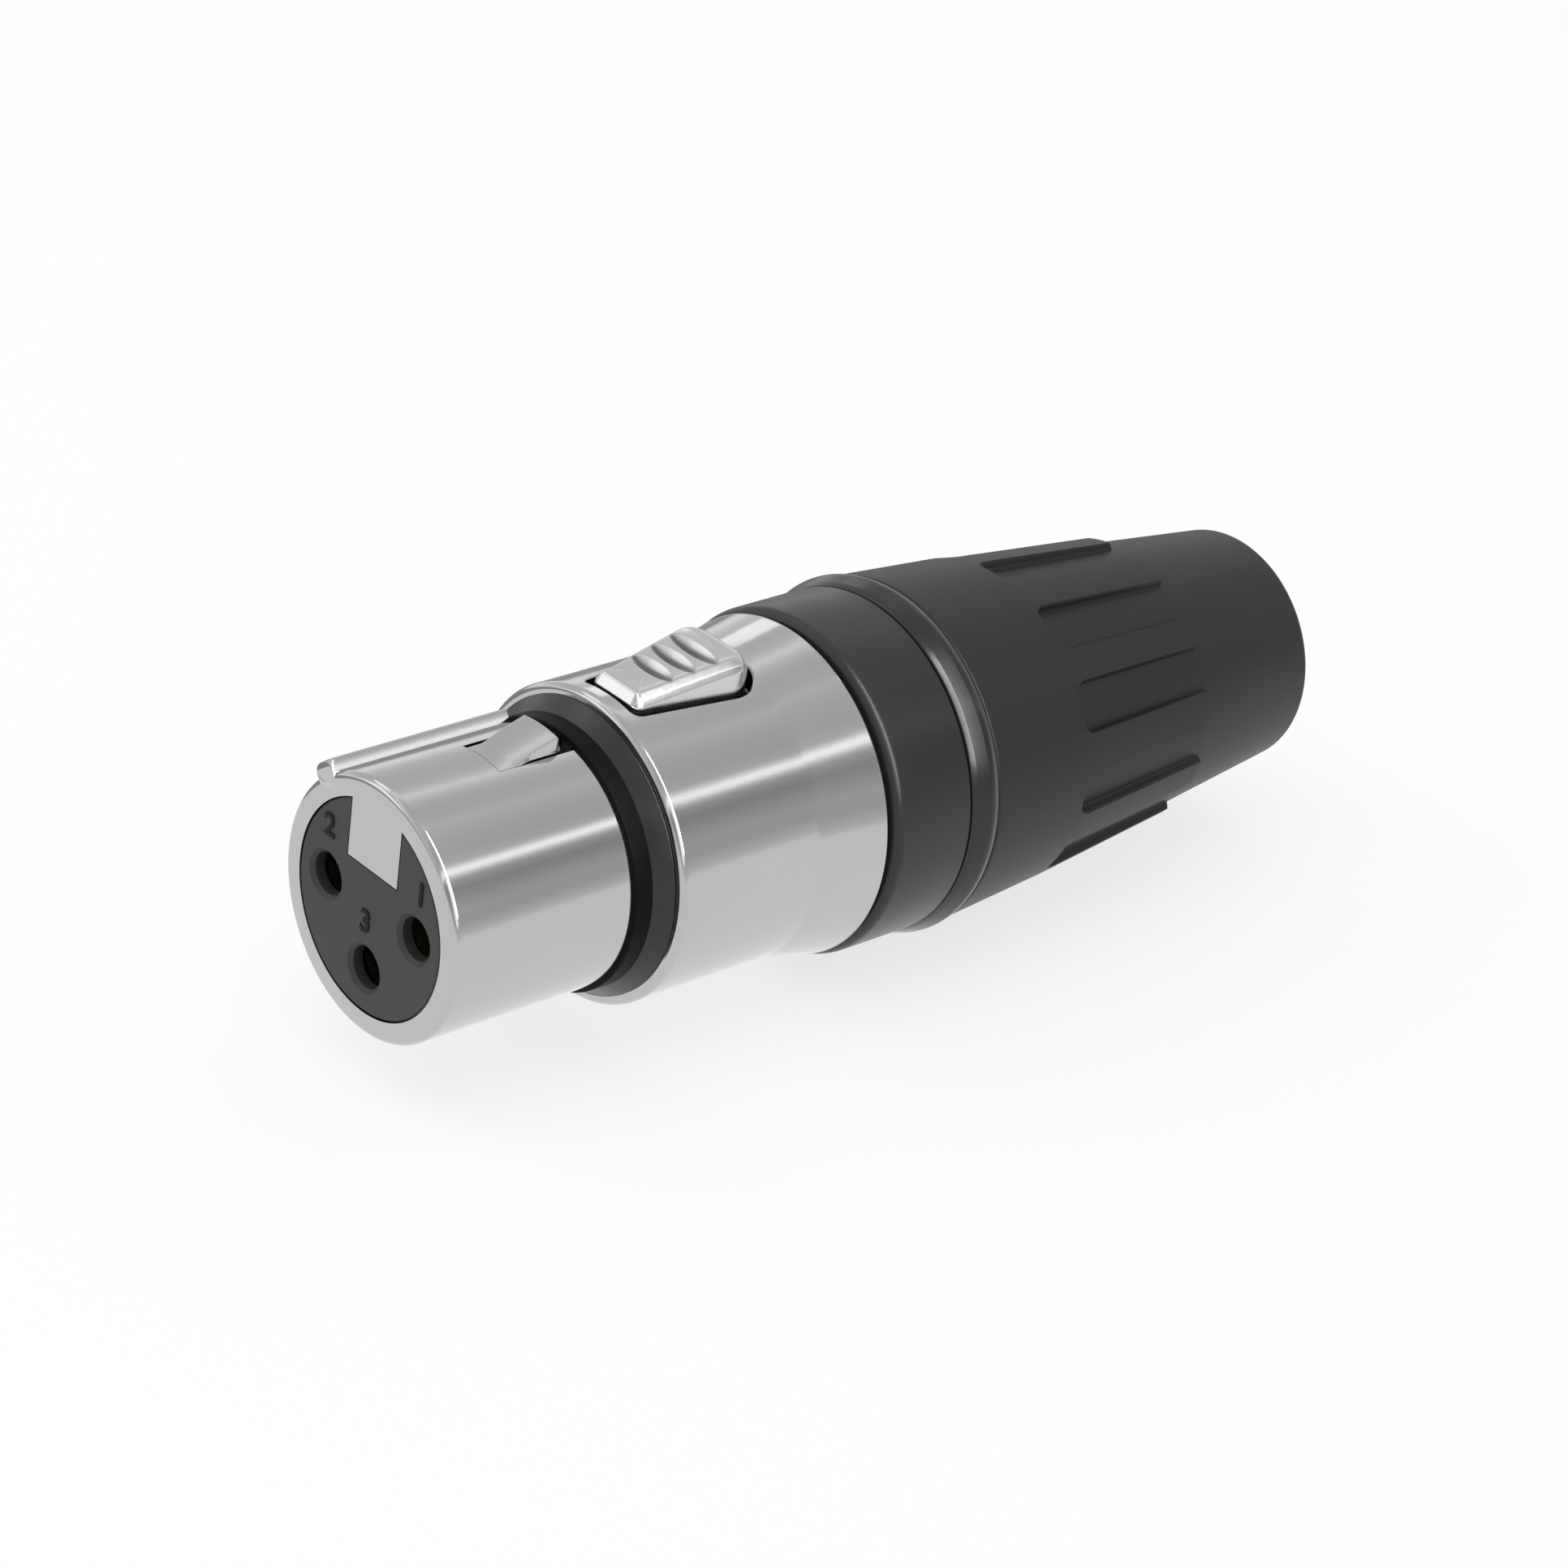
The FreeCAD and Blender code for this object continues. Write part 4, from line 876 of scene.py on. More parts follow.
def scallops(sizes, x, stations):
    """Depth of the button's scallops, and the painted shade in them, from 0 to 1.

    With c = 1 - (x / end)^2, a scallop is a lens that takes away D (1 - u^2)^2 c^0.75, where u
    is the share of its half length, itself less by sqrt(c). The painted shade is darkest a
    little ahead of a scallop's middle and fades out towards its pointed ends.
    """
    scooped, recess = np.zeros_like(x), np.zeros_like(x)
    for index in range(SCALLOPS):
        middle = sizes.scallop_first + index * sizes.scallop_pitch
        end = button_half_width(sizes, middle) - sizes.scallop_margin
        across = np.clip(1 - (x / end)**2, 0.0, 1.0)
        u = (stations - middle) / (sizes.scallop_half * np.sqrt(np.maximum(across, 1e-4)))
        shape = np.clip(1 - u**2, 0.0, 1.0)**2 * across**0.75
        scooped = np.maximum(scooped, sizes.scallop_depth * shape)
        # Painted shade: darkest a little ahead of the scallop's middle.
        dark = np.exp(-((u + HOLLOW_SHIFT) / HOLLOW_SPREAD)**2)
        recess = np.maximum(recess, smoothstep(across * HOLLOW_EDGE) * dark)
    return scooped, np.where(scooped > 0, recess, 0.0)


def button_top(sizes, x, stations):
    """Height of the button's top.

    Two slopes meet in a soft crest. Bevels run round the edge: each falls evenly to the rim,
    with a soft inner edge, and the front's blends into the sides' in a fan.
    """
    top, crest = sizes.button_crest_top, sizes.button_crest
    front_rise = (top - sizes.button_front_top) / (crest - sizes.button_front)
    rear_fall = (top - sizes.button_rear_top) / (sizes.button_rear - crest)
    front_slope = sizes.button_front_top + (stations - sizes.button_front) * front_rise
    rear_slope = sizes.button_crest_top - (stations - sizes.button_crest) * rear_fall
    plain = (front_slope + rear_slope - np.sqrt((front_slope - rear_slope)**2 + CREST_SOFTNESS**2)) / 2
    distance, forward = button_edge(sizes, x, stations)
    side = sizes.side_drop * (1 - distance / sizes.side_bevel)
    front = sizes.front_drop * (1 - distance / sizes.front_bevel)
    slant = side * (1 - forward) + front * forward
    bevel = (slant + np.sqrt(slant**2 + (SIDE_SOFTNESS * (1 - forward) + FRONT_SOFTNESS)**2)) / 2
    rim = sizes.rim * (1 - forward) + FRONT_RIM * forward
    return plain - np.maximum(scallops(sizes, x, stations)[0], bevel) - edge_fall(distance, rim)


def add_button(skin, sizes):
    """The thumb pad: a grid over its plan, x = t half_width(station) with t from -1 to 1,
    closer spaced at the edges, lifted to the top's height, with its rim carried down."""
    ahead, behind = (reach * np.linspace(0.0, 1.0, rows)**ROW_CROWDING for reach, rows in (
        (sizes.corner_front * FRONT_REACH, BUTTON_ROWS[0]), (sizes.corner_rear, BUTTON_ROWS[2])))
    middle = np.linspace(sizes.button_front + ahead[-1], sizes.button_rear - behind[-1], BUTTON_ROWS[1])
    stations = np.concatenate((
        sizes.button_front + ahead[:-1], middle, sizes.button_rear - behind[-2::-1]))[:, None]
    t = np.sin(np.linspace(-WIDEST, WIDEST, BUTTON_COLUMNS)) / math.sin(WIDEST)
    x = t * button_half_width(sizes, stations)
    y = np.broadcast_to(stations, x.shape)
    bottom = np.full(x.shape, sizes.button_floor)
    layers = [np.stack((x, y, z), axis=-1) for z in (button_top(sizes, x, y), bottom)]
    for layer in layers:
        skin.grid(layer)
    rim = [np.concatenate((layer[0, :-1], layer[:-1, -1], layer[-1, :0:-1], layer[:0:-1, 0]))
           for layer in layers]
    skin.grid(np.stack(rim), wrap_columns=True)


def note_painted_shade(piece, depth_at):
    """Stores a weight of painted shade at each point of a piece, for its finish to read."""
    mesh = piece.data
    places = np.empty(len(mesh.vertices) * 3)
    mesh.vertices.foreach_get("co", places)
    depths = depth_at(*places.reshape(-1, 3).T)
    mesh.attributes.new("recess", "FLOAT", "POINT").data.foreach_set("value", depths)


def add_slab(skin, plan, low, high):
    """A plate: a plan's loop at two heights, with both faces and the side between them."""
    loops = [np.column_stack((plan[:, :2], np.full(len(plan), height))) for height in (low, high)]
    for loop in loops:
        skin.flat(loop)
    skin.grid(np.stack(loops), wrap_columns=True)


def add_skirt(skin, sizes, housing):
    """The plate under the window's edge, and the rib that joins it to the arm."""
    front, rear = sizes.button_front + SKIRT_SETBACK, sizes.button_rear
    narrow = housing.window_front_half + sizes.skirt_overlap
    wide = housing.window_rear_half + sizes.skirt_overlap
    plan = rounded_outline([
        (-narrow, front, SKIRT_FRONT_CORNER), (narrow, front, SKIRT_FRONT_CORNER),
        (wide, rear, SKIRT_REAR_CORNER), (-wide, rear, SKIRT_REAR_CORNER)])
    add_slab(skin, plan, sizes.skirt_bottom, sizes.skirt_top)
    rib = level_corners(sizes.half_width, front, rear, 0.0)
    add_slab(skin, rib, sizes.arm_bottom, sizes.skirt_bottom + RIB_OVERLAP)


class CONNECTOR_OT_latch(Operator):
    """Make the latch: nose, arm and eye as one piece, and the button and its skirt as two more"""

    bl_idname = "connector.latch"
    bl_label = "Latch"

    def execute(self, context):
        sizes = context.scene.connector_latch
        arm = Skin()
        add_lever_arm(arm, sizes)
        add_eye(arm, sizes)
        settle(arm.piece("latch_arm"), "latch", "latch_nickel", "nickel", "latch_lever")
        pad = Skin()
        add_button(pad, sizes)
        button = pad.piece("latch_button")
        floor = sizes.button_floor + MM
        # Painted shade in the scallops, stored on the button's top only.
        note_painted_shade(button, lambda x, y, z: np.where(z > floor, scallops(sizes, x, y)[1], 0.0))
        settle(button, "latch", "latch_nickel", "latch_nickel")
        under = Skin()
        add_skirt(under, sizes, context.scene.connector_housing)
        settle(under.piece("latch_skirt"), "latch", "latch_nickel", "latch_nickel")
        return {"FINISHED"}


class CONNECTOR_OT_leaf_spring(Operator):
    """Make the leaf spring as one still shape; the real one flattens as the button is pressed"""

    bl_idname = "connector.leaf_spring"
    bl_label = "Leaf Spring"

    def execute(self, context):
        low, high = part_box("latch_spring")
        share = np.linspace(0.0, 1.0, 25)
        foot_end = low.y + SPRING_FOOT
        stations = np.append(low.y, foot_end + (high.y - foot_end) * share)
        heights = low.z + np.append(0.0, (high.z - low.z - SPRING_THICKNESS) * smoothstep(share))
        along = np.concatenate((stations, stations[::-1]))
        up = np.concatenate((heights, heights[::-1] + SPRING_THICKNESS))
        half = (high.x - low.x) / 2
        sides = [np.column_stack((np.full(len(along), x), along, up)) for x in (-half, half)]
        skin = Skin()
        skin.grid(np.stack(sides), wrap_columns=True)
        for side in sides:
            skin.flat(side)
        piece = skin.piece("leaf_spring")
        settle(piece, "housing", "spring_steel", "spring_steel", "latch_spring")
        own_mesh(piece)
        return {"FINISHED"}


# Rings, bushing and boot

# Roundings: of plain edges, the rubber ring's edge, the lip's foot and crest, the boot's front
# edge and the edge of its cable hole.
FINE_EDGE, RUBBER_EDGE = 0.12 * MM, 0.08 * MM
LIP_FOOT_EDGE, LIP_CREST_EDGE = 0.15 * MM, 0.7 * MM
BOOT_EDGE, HOLE_EDGE = 0.2 * MM, 0.35 * MM


class CONNECTOR_OT_rings(Operator):
    """Make the rubber ring at the shoulder, the coding ring and the bushing with its lip"""

    bl_idname = "connector.rings"
    bl_label = "Rings and Bushing"

    def execute(self, context):
        sizes = context.scene.connector_collar
        housing = context.scene.connector_housing
        columns = housing.columns
        sleeve = turned_piece("rubber_sleeve", [
            (housing.barrel_radius, sizes.rubber_front, 0),
            (sizes.rubber_sleeve, sizes.rubber_front, FINE_EDGE),
            (sizes.rubber_sleeve, sizes.rubber_bevel + FINE_EDGE, 0),
            (housing.barrel_radius, sizes.rubber_bevel + FINE_EDGE, 0),
        ], columns, 5)
        # The sleeve takes a darker copy of the ring's rubber as painted shade.
        settle(sleeve, "housing", "ring_rubber", "sleeve_rubber")
        rubber = turned_piece("rubber_ring", [
            (housing.barrel_radius, sizes.rubber_bevel, 0),
            (sizes.rubber_sleeve, sizes.rubber_bevel, 0),
            (sizes.rubber_radius, housing.barrel_end, RUBBER_EDGE),
            (housing.barrel_radius, housing.barrel_end, 0),
        ], columns, 5)
        settle(rubber, "housing", "ring_rubber", "ring_rubber", "shoulder_ring")
        pilot_end = sizes.lip_front + sizes.pilot_reach
        recess_radius, recess_end = sizes.pilot_radius + sizes.pilot_play, pilot_end + sizes.pilot_play
        ring = turned_piece("coding_ring_body", [
            (sizes.ring_bore, housing.flare_end, 0),
            (sizes.pilot_radius, housing.flare_end, 0),
            (sizes.pilot_radius, sizes.ring_front, 0),
            (sizes.ring_radius, sizes.ring_front, sizes.ring_edge),
            (sizes.ring_radius, sizes.ring_end, FINE_EDGE),
            (sizes.pilot_radius, sizes.ring_end, 0),
            (sizes.pilot_radius, pilot_end, 0),
            (sizes.ring_bore, pilot_end, 0),
        ], columns, 10)
        settle(ring, "housing", "collar_plastic", "ring_plastic", "coding_ring")
        bushing = turned_piece("bushing_body", [
            (recess_radius, sizes.lip_front, 0),
            (sizes.ring_radius, sizes.lip_front, FINE_EDGE),
            (sizes.lip_step_radius, sizes.lip_step, LIP_FOOT_EDGE),
            (sizes.lip_radius, sizes.lip_bevel_end, LIP_CREST_EDGE),
            (sizes.lip_rear_radius, sizes.lip_end, FINE_EDGE),
            (sizes.core_front_radius, sizes.lip_end, 0),
            (sizes.core_front_radius, sizes.nut_end, 0),
            (sizes.core_rear_radius, sizes.core_end, 0),
            (sizes.taper_rear_radius, sizes.core_end, 0),
            (sizes.taper_front_radius, sizes.taper_front, 0),
            (sizes.nut_bore, sizes.nut_end, 0),
            (sizes.nut_bore, recess_end, 0),
            (recess_radius, recess_end, 0),
        ], columns, 8)
        settle(bushing, "boot", "collar_plastic", "collar_plastic", "bushing")
        return {"FINISHED"}


# The boot's rows round the grooves' front ends and round the grip's end: how far before and
# behind, and how many.
GROOVE_LEAD, GROOVE_TAIL, GRIP_END = 0.3 * MM, 1.6 * MM, 0.3 * MM
LEAD_ROWS, FRONT_ROWS, GRIP_ROWS, END_ROWS = 20, 40, 30, 13
# How far in front of its bend the outline gives way to those rows, the length of the step at the
# grip's end, and half the angle in which a groove's wall has its closer columns.
BEND_REACH, STEP_LENGTH, WALL_ANGLE = 4.5 * MM, 0.2 * MM, math.radians(1.3)


def groove_mask(sizes, angles, stations, radii):
    """1 on a groove's floor and 0 on the lands.

    In plan a groove is a strip of constant angle with a round-cornered front end. With u the
    arc length from its middle line and v the distance behind its front, the distance to the
    strip's edge is that of a rounded box, and the wall is a smooth step of that distance.
    """
    pitch = TURN / sizes.grooves
    u = radii * np.abs((angles + pitch / 2) % pitch - pitch / 2)
    v = stations - sizes.groove_front
    corner = sizes.groove_corner
    beside, ahead = u - (radii * sizes.groove_half_angle - corner), corner - v
    outside = np.hypot(np.maximum(beside, 0.0), np.maximum(ahead, 0.0))
    distance = outside + np.minimum(np.maximum(beside, ahead), 0.0) - corner
    return smoothstep(0.5 - distance / sizes.groove_wall)


def groove_wall_shade(sizes, x, stations, z):
    """Painted shade on the grooves' walls: 1 in the middle of a groove's wall, where the mask is a half,
    and 0 away from it.
    """
    radii = np.hypot(x, z)
    mask = groove_mask(sizes, np.arctan2(x, z), stations, radii)
    on_grip = (radii > sizes.tail_rear_radius) & (stations < sizes.land_end)
    return np.where(on_grip, 4 * mask * (1 - mask), 0.0)


def groove_angles(sizes):
    """Angles round the boot: in each groove's period, closer spaced at its two walls."""
    half = sizes.groove_half_angle
    pitch = TURN / sizes.grooves
    side = np.concatenate((
        np.linspace(0, half - WALL_ANGLE, 5)[:-1],
        np.linspace(half - WALL_ANGLE, half + WALL_ANGLE, 9)[:-1],
        np.linspace(half + WALL_ANGLE, pitch / 2, 4)))
    period = np.concatenate((-side[:0:-1], side[:-1]))
    return (np.arange(sizes.grooves)[:, None] * pitch + period).ravel()


def boot_outline(sizes, collar):
    """The boot's closed (radius, station) outline, without its grooves."""
    return rounded_outline([
        (collar.core_front_radius, collar.lip_end, 0),
        (sizes.front_radius, collar.lip_end, BOOT_EDGE),
        (sizes.bend_radius, sizes.bend, sizes.softness),
        (sizes.land_end_radius, sizes.land_end, 0),
        (sizes.tail_front_radius, sizes.land_end, 0),
        (sizes.tail_rear_radius, sizes.tail_end, sizes.tail_edge),
        (sizes.hole_radius, sizes.tail_end, HOLE_EDGE),
        (sizes.hole_radius, sizes.hole_front, 0),
        (sizes.inner_step, collar.core_end + 1.0 * MM, 0),
        (sizes.inner_step, collar.core_end, 0),
        (collar.core_rear_radius, collar.core_end, 0),
        (collar.core_front_radius, collar.nut_end, 0),
    ], 12)


def grip_rows(sizes, start, lands, angles):
    """The grip's points, from a first station to just behind the lands' end.

    The lands follow the outline. The grooves' floor runs evenly from the groove depth in front
    to the tail's front radius, and a smooth step leads down to the tail.
    """
    front, end = sizes.groove_front, sizes.land_end
    stops = (start, front - GROOVE_LEAD, front + GROOVE_TAIL, end - GRIP_END, end + GRIP_END)
    counts = (LEAD_ROWS, FRONT_ROWS, GRIP_ROWS, END_ROWS)
    stations = np.concatenate([
        np.linspace(first, last, count)[1:]
        for first, last, count in zip(stops, stops[1:], counts)])[:, None]
    land = np.interp(stations, lands[1:, 1], lands[1:, 0])
    tail_slope = (sizes.tail_rear_radius - sizes.tail_front_radius) / (sizes.tail_end - end)
    tail = sizes.tail_front_radius + (stations - end) * tail_slope
    floor_front = np.interp(front, lands[1:, 1], lands[1:, 0]) - sizes.groove_depth
    floor = floor_front + (sizes.tail_front_radius - floor_front) * (stations - front) / (end - front)
    grip = land + (floor - land) * groove_mask(sizes, angles, stations, land)
    past = smoothstep(0.5 + (stations - end) / STEP_LENGTH)
    return round_points(grip + (tail - grip) * past, stations, angles)


class CONNECTOR_OT_boot(Operator):
    """Make the rubber boot with its castellated grip"""

    bl_idname = "connector.boot"
    bl_label = "Boot"

    def execute(self, context):
        sizes = context.scene.connector_boot
        outline = boot_outline(sizes, context.scene.connector_collar)
        start = int(np.argmax(np.abs(outline[:, 1] - sizes.bend) < BEND_REACH))
        end = int(np.argmax(outline[:, 1] >= sizes.land_end - 1e-9))
        angles = groove_angles(sizes)
        before, after = outline[:start], outline[end + 2:]
        grip = grip_rows(sizes, before[-1, 1], outline[:end + 1], angles)
        points = np.vstack((turned_rows(before, angles), grip, turned_rows(after, angles)))
        skin = Skin()
        skin.grid(points, wrap_rows=True, wrap_columns=True)
        piece = skin.piece("boot_body")
        # Painted shade on the grooves' walls.
        note_painted_shade(piece, lambda x, y, z: groove_wall_shade(sizes, x, y, z))
        settle(piece, "boot", "boot_rubber", "boot_rubber", "boot")
        return {"FINISHED"}


# Numerals and inner pieces

# Each pin number's place on the insert's face, x and z in millimetres.
NUMERALS = {"1": (4.45, 3.2), "2": (-4.1, 3.4), "3": (-0.2, -0.9)}
# The lettering's sizes in millimetres: height, half thickness, edge and how far it is made bolder.
NUMERAL_STEPS = 6
NUMERAL_SIZES = {"size": 2.0, "extrude": 0.05, "bevel_depth": 0.02, "offset": 0.03}


class CONNECTOR_OT_numerals(Operator):
    """Make the raised pin numbers on the insert's face"""

    bl_idname = "connector.numerals"
    bl_label = "Numerals"

    def execute(self, context):
        for text, (x, z) in NUMERALS.items():
            curve = bpy.data.curves.new("numeral_text", "FONT")
            curve.body = text
            curve.align_x = curve.align_y = "CENTER"
            curve.resolution_u = NUMERAL_STEPS
            for setting, size in NUMERAL_SIZES.items():
                setattr(curve, setting, size * MM)
            source = bpy.data.objects.new("numeral_source", curve)
            context.scene.collection.objects.link(source)
            context.view_layer.update()
            evaluated = source.evaluated_get(context.evaluated_depsgraph_get())
            mesh = bpy.data.meshes.new_from_object(evaluated)
            bpy.data.objects.remove(source)
            bpy.data.curves.remove(curve)
            upright = Matrix.Rotation(math.pi / 2, 4, "X")
            mesh.transform(Matrix.Translation((x * MM, 0.0, z * MM)) @ upright)
            numeral = bpy.data.objects.new("numeral_" + text, mesh)
            context.scene.collection.objects.link(numeral)
            # The numbers take a darker copy of the carrier's plastic as painted shade.
            settle(numeral, "housing", "insert_plastic", "numeral_plastic")
        return {"FINISHED"}


# Every CAD node's finish. Some of the nodes are hidden by a piece that stands for them.
NODE_FINISHES = {
    "insert": "insert_plastic", "insert_cap": "insert_plastic", "contact_1": "contact_brass",
    "contact_2": "contact_brass", "contact_3": "contact_brass", "latch_pin": "spring_steel",
    "shell_ground_ring": "spring_steel", "chuck": "chuck_plastic", "shell": "nickel",
    "shoulder_ring": "ring_rubber", "latch_lever": "latch_nickel", "latch_spring": "spring_steel",
    "coding_ring": "collar_plastic", "bushing": "collar_plastic", "boot": "boot_rubber",
}


class CONNECTOR_OT_inner_pieces(Operator):
    """Give every CAD node from model.glb its finish"""

    bl_idname = "connector.inner_pieces"
    bl_label = "Inner Pieces"

    def execute(self, context):
        for node_name, look in NODE_FINISHES.items():
            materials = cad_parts[node_name].data.materials
            materials.clear()
            materials.append(finish(look))
        return {"FINISHED"}


# Stage

# The grey of each band of the tent, by its angle in degrees.
TENT_BANDS = (
    (-100, 0.30), (-93, 0.42), (-89, 0.95), (-83, 1.10), (-75, 0.88), (-66, 0.76), (-52, 0.72),
    (-40, 0.76), (-34, 0.85), (-28, 1.15), (-23, 0.90), (-17, 0.74), (-9, 0.69), (0, 0.72), (5, 0.80),
    (10, 0.72), (20, 0.65), (29, 0.62), (38, 0.67), (41, 1.10), (42.5, 1.75), (45.5, 1.75), (47.5, 1.00),
    (50, 0.52), (58, 0.37), (66, 0.48), (74, 0.58), (83, 0.56), (90, 0.70), (98, 0.92),
)
# The angle at which the tent's ramp ends, the strength of a full stop on it, and how far the tent
# reaches along the axis, in millimetres.
TENT_LIMIT, TENT_STRENGTH, FAR_END = 120.0, 2.0, 2000.0
# Each card's level, radius, first and last angle in degrees, and front and rear stations. Radii
# and stations are in millimetres.
CARDS = {
    "side_card": ("card_level", 135.0, 48, 84, -60.0, 8.0),
    "low_front_card": ("card_level", 135.0, -75, -48, -220.0, -75.0),
    "high_front_card": ("card_level", 135.0, -50, -34, -50.0, 12.0),
    "lip_card": ("glow_level", 135.0, 12, 76, 14.0, 36.0),
    "rear_card": ("card_level", 60.0, -61, -46, 52.5, 60.0),
    "low_card": ("dark_level", 46.0, -104, -84, -FAR_END, FAR_END),
}
# The share of its own white that the floor shows to the camera. The rest is its shading.
FLOOR_WHITE = 0.75
# The lamps face the middle of the part. Each has its power, size, direction and upright side.
MIDDLE = Vector((0.0, 36 * MM, 0.0))
LAMP_DISTANCE = 0.7
LAMPS = {
    "key_lamp": ("key_power", 0.6, (0.1, -0.3, 1.0), (0.0, 1.0, 0.0)),
    "front_lamp": ("front_power", 0.3, (-0.62, -0.48, 0.62), (0.0, 0.0, 1.0)),
}
# The photograph's view: the camera's place in millimetres, its backward and right directions,
# its lens and sensor in millimetres, and its clipping distances in metres.
CAMERA_PLACE = (170.81, -138.43, 130.19)
CAMERA_BACK, CAMERA_RIGHT = (0.6239, -0.6194, 0.4766), (0.6514, 0.7491, 0.1207)
LENS, SENSOR, CLIPPING = 104.12, 36.0, (0.01, 50.0)


def larger(tree, first, second):
    """The larger of two outputs."""
    return node(tree, "Math", {0: first, 1: second}, operation="MAXIMUM").outputs["Value"]


def seen_rays(tree):
    """1 for the camera's rays, and 1 for the rays off gloss and through glass."""
    rays = node(tree, "LightPath").outputs
    return rays["Is Camera Ray"], larger(tree, rays["Is Glossy Ray"], rays["Is Transmission Ray"])


def studio_world(grey):
    """A plain studio: an even grey as light, and white for the rays that show a background,
    which come from the camera, off gloss and through glass."""
    world = bpy.data.worlds.new("studio")
    bpy.context.scene.world = world
    tree = empty_tree(world)
    even, white = (node(tree, "Background", {"Color": colour}).outputs["Background"]
                   for colour in ((grey, grey, grey, 1.0), WHITE))
    mixed = node(tree, "MixShader", {0: larger(tree, *seen_rays(tree)), 1: even, 2: white})
    node(tree, "OutputWorld", {"Surface": mixed.outputs["Shader"]})


def tent_bands(tree):
    """The tent's greys: a ramp over the angle round the part, a = atan2(x, z)."""
    place = node(tree, "TexCoord").outputs["Object"]
    split = node(tree, "SeparateXYZ", {"Vector": place}).outputs
    angle = node(tree, "Math", {0: split["X"], 1: split["Z"]}, operation="ARCTAN2").outputs["Value"]
    limit = math.radians(TENT_LIMIT)
    share = node(tree, "MapRange", {"Value": angle, "From Min": -limit, "From Max": limit})
    ramp = node(tree, "ValToRGB", {"Fac": share.outputs["Result"]})
    stops = ramp.color_ramp.elements
    for index, (degrees, grey) in enumerate(TENT_BANDS):
        position = (degrees + TENT_LIMIT) / (2 * TENT_LIMIT)
        stop = stops[0] if index == 0 else stops.new(position)
        stop.position = position
        stop.color = (*[grey / TENT_STRENGTH] * 3, 1.0)
    stops.remove(stops[-1])
    return ramp.outputs["Color"]


def glow(name, strength, colour_of=None):
    """A material that only glows, white or in the colour that colour_of makes in its tree."""
    material = bpy.data.materials.new(name)
    tree = empty_tree(material)
    colour = colour_of(tree) if colour_of else WHITE
    light = node(tree, "Emission", {"Color": colour, "Strength": strength})
    node(tree, "OutputMaterial", {"Surface": light.outputs["Emission"]})
    return material


def bent_card(name, material, radius, first_angle, last_angle, front, rear):
    """A card bent round the part's axis, x = R sin(a) and z = R cos(a), seen only in gloss."""
    angles = np.radians(np.linspace(first_angle, last_angle, 65))
    skin = Skin()
    skin.grid(round_points(radius * MM, np.array([[front], [rear]]) * MM, angles))
    card = skin.piece(name)
    card.data.materials.append(material)
    for kind in ("camera", "diffuse", "transmission", "volume_scatter", "shadow"):
        setattr(card, "visible_" + kind, False)


def floor_finish():
    """A pale matt floor: camera rays see mostly its own white and some of its shading, so that
    the part's shadow stays, and reflections see it white."""
    material = bpy.data.materials.new("pale_floor")
    tree = empty_tree(material)
    camera, reflected = seen_rays(tree)
    seen = node(tree, "Math", {0: camera, 1: FLOOR_WHITE}, operation="MULTIPLY").outputs["Value"]
    matt = node(tree, "BsdfDiffuse", {"Color": WHITE}).outputs["BSDF"]
    white = node(tree, "Emission", {"Color": WHITE}).outputs["Emission"]
    mixed = node(tree, "MixShader", {0: larger(tree, seen, reflected), 1: matt, 2: white})
    node(tree, "OutputMaterial", {"Surface": mixed.outputs["Shader"]})
    return material


def lamp(name, power, size, direction, upright):
    """A square lamp in a direction from the middle of the part. Gloss sees the cards instead."""
    data = bpy.data.lights.new(name, "AREA")
    data.size = size
    data.energy = power
    made = bpy.data.objects.new(name, data)
    bpy.context.scene.collection.objects.link(made)
    back = Vector(direction).normalized()
    side = Vector(upright).cross(back).normalized()
    facing = Matrix((side, back.cross(side), back)).transposed().to_4x4()
    made.matrix_world = Matrix.Translation(MIDDLE + back * LAMP_DISTANCE) @ facing
    made.visible_glossy = False


def place_camera():
    """The camera: its up direction is square to the backward and right directions."""
    data = bpy.data.cameras.new("camera")
    data.lens, data.sensor_width = LENS, SENSOR
    data.clip_start, data.clip_end = CLIPPING
    camera = bpy.data.objects.new("camera", data)
    bpy.context.scene.collection.objects.link(camera)
    back = Vector(CAMERA_BACK).normalized()
    up = back.cross(Vector(CAMERA_RIGHT).normalized()).normalized()
    facing = Matrix((up.cross(back), up, back)).transposed().to_4x4()
    camera.matrix_world = Matrix.Translation(Vector(CAMERA_PLACE) * MM) @ facing
    bpy.context.scene.camera = camera


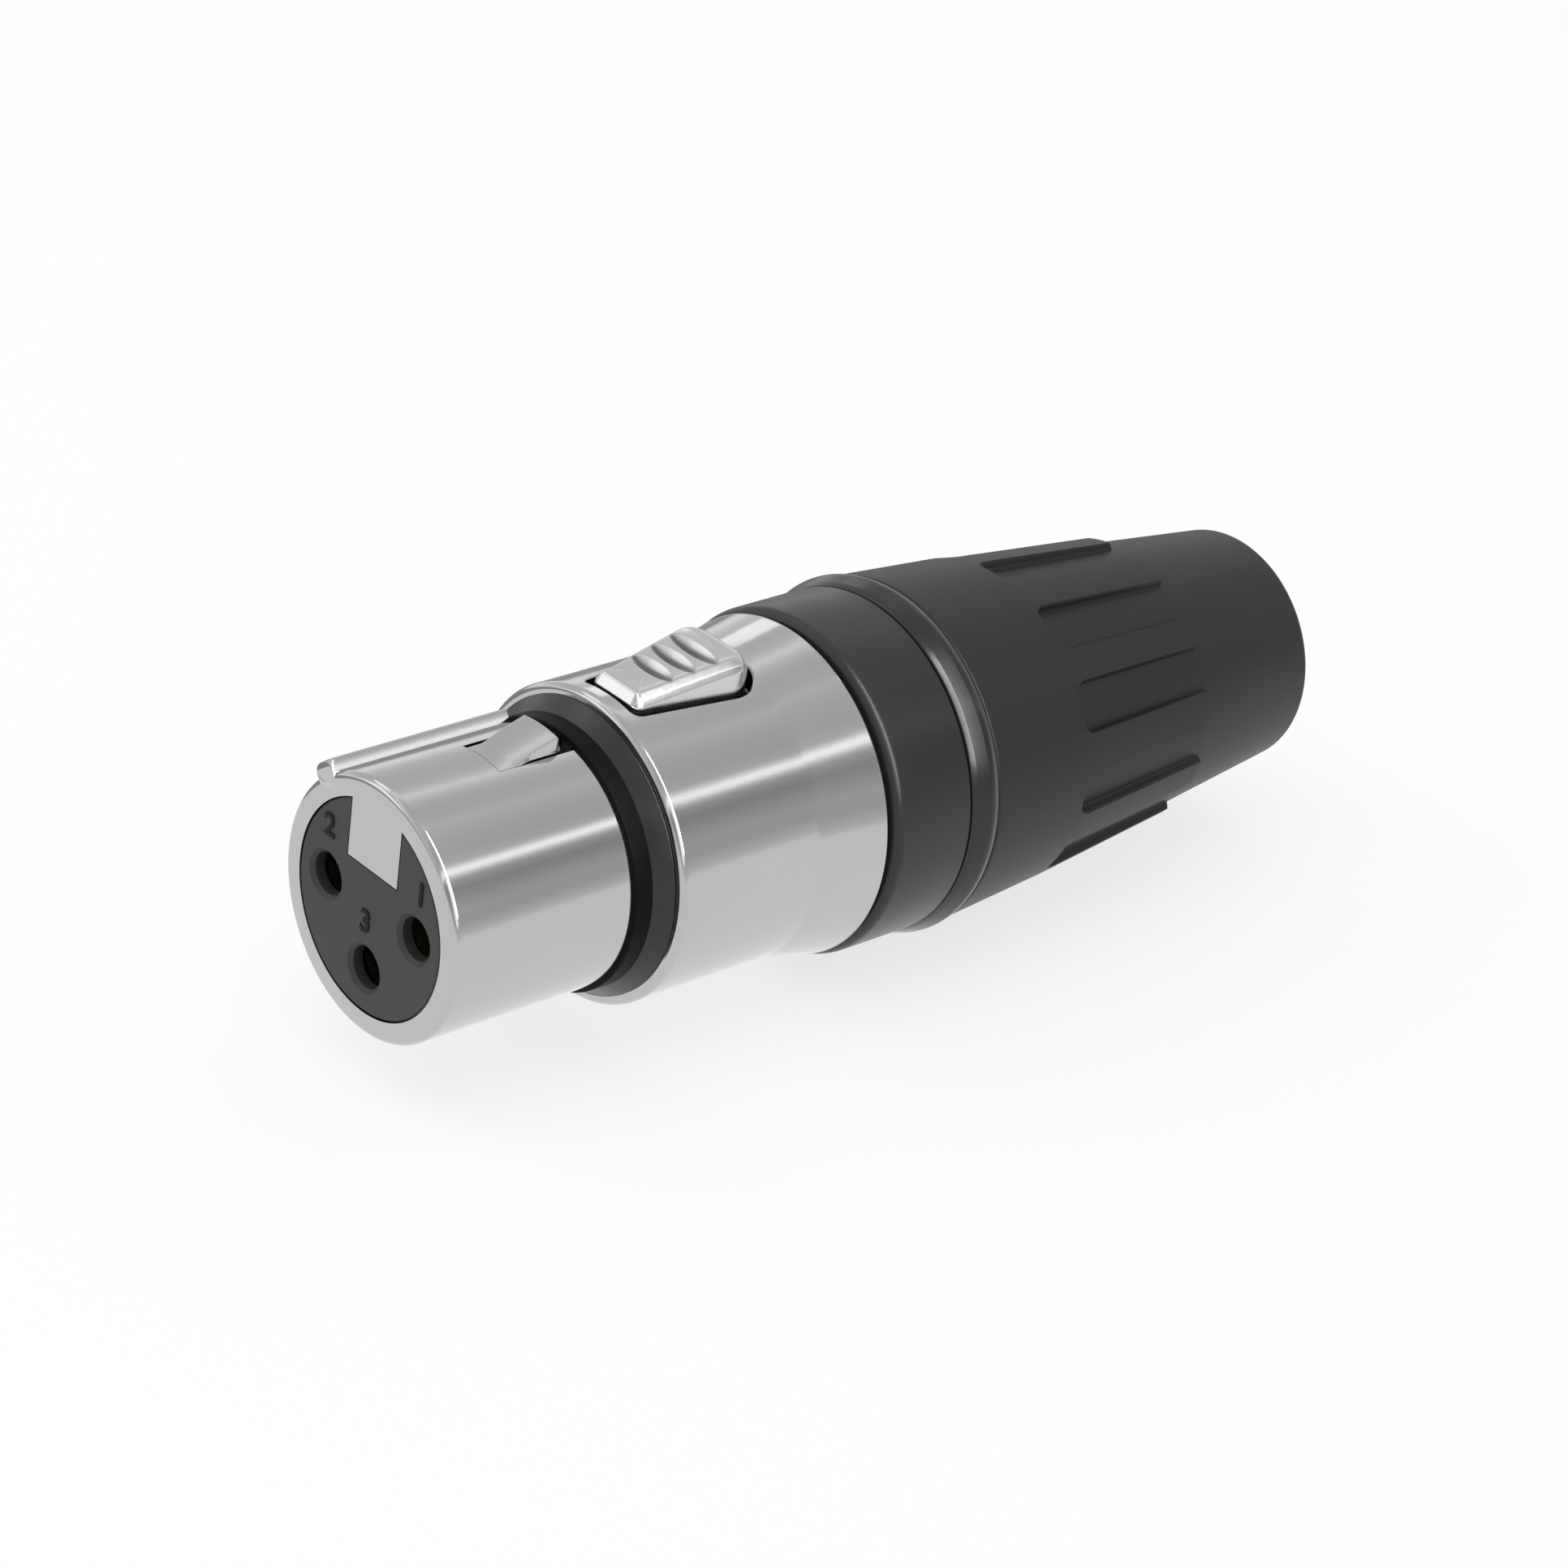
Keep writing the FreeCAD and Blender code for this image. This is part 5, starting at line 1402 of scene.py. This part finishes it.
class CONNECTOR_OT_stage(Operator):
    """Make the floor, the studio, the cards, the lamps and the camera"""

    bl_idname = "connector.stage"
    bl_label = "Stage"

    def execute(self, context):
        settings = context.scene.connector_stage
        context.scene.view_settings.view_transform = "Standard"
        size = settings.floor_size
        height = CAD_BOX[0].z - settings.floor_gap
        mesh = bpy.data.meshes.new("floor")
        mesh.from_pydata(level_corners(size, -size, size, height).tolist(), [], [(0, 1, 2, 3)])
        mesh.materials.append(floor_finish())
        floor = bpy.data.objects.new("floor", mesh)
        context.scene.collection.objects.link(floor)
        studio_world(settings.world_level)
        tent = glow("tent_bands", TENT_STRENGTH, tent_bands)
        first, last = TENT_BANDS[0][0], TENT_BANDS[-1][0]
        bent_card("reflection_tent", tent, settings.tent_radius / MM, first, last, -FAR_END, FAR_END)
        for name, (shine, *place) in CARDS.items():
            bent_card(name, glow(name, getattr(settings, shine)), *place)
        for name, (power, *place) in LAMPS.items():
            lamp(name, getattr(settings, power), *place)
        place_camera()
        return {"FINISHED"}


class CONNECTOR_PT_panel(Panel):
    """Lists the connector's pieces in the 3D view's sidebar"""

    bl_label = "Connector"
    bl_idname = "CONNECTOR_PT_panel"
    bl_space_type = "VIEW_3D"
    bl_region_type = "UI"
    bl_category = "Connector"

    def draw(self, context):
        for maker in OPERATORS:
            self.layout.operator(maker.bl_idname)


GROUPS = {
    "connector_housing": HousingSizes, "connector_latch": LatchSizes, "connector_collar": CollarSizes,
    "connector_boot": BootSizes, "connector_colours": FinishColours, "connector_stage": StageSettings,
}
OPERATORS = (
    CONNECTOR_OT_inner_pieces, CONNECTOR_OT_housing, CONNECTOR_OT_latch, CONNECTOR_OT_leaf_spring,
    CONNECTOR_OT_rings, CONNECTOR_OT_boot, CONNECTOR_OT_numerals, CONNECTOR_OT_stage,
)


def register():
    """Registers the property groups, the operators and the panel."""
    for name, group in GROUPS.items():
        name_properties(group)
        bpy.utils.register_class(group)
        setattr(bpy.types.Scene, name, PointerProperty(type=group))
    for maker in OPERATORS:
        bpy.utils.register_class(maker)
    bpy.utils.register_class(CONNECTOR_PT_panel)


def unregister():
    """Takes away what register added."""
    bpy.utils.unregister_class(CONNECTOR_PT_panel)
    for maker in reversed(OPERATORS):
        bpy.utils.unregister_class(maker)
    for name, group in reversed(GROUPS.items()):
        delattr(bpy.types.Scene, name)
        bpy.utils.unregister_class(group)


def main():
    register()
    bpy.ops.connector.inner_pieces()
    bpy.ops.connector.housing()
    bpy.ops.connector.latch()
    bpy.ops.connector.leaf_spring()
    bpy.ops.connector.rings()
    bpy.ops.connector.boot()
    bpy.ops.connector.numerals()
    bpy.ops.connector.stage()


if __name__ == "__main__":
    main()
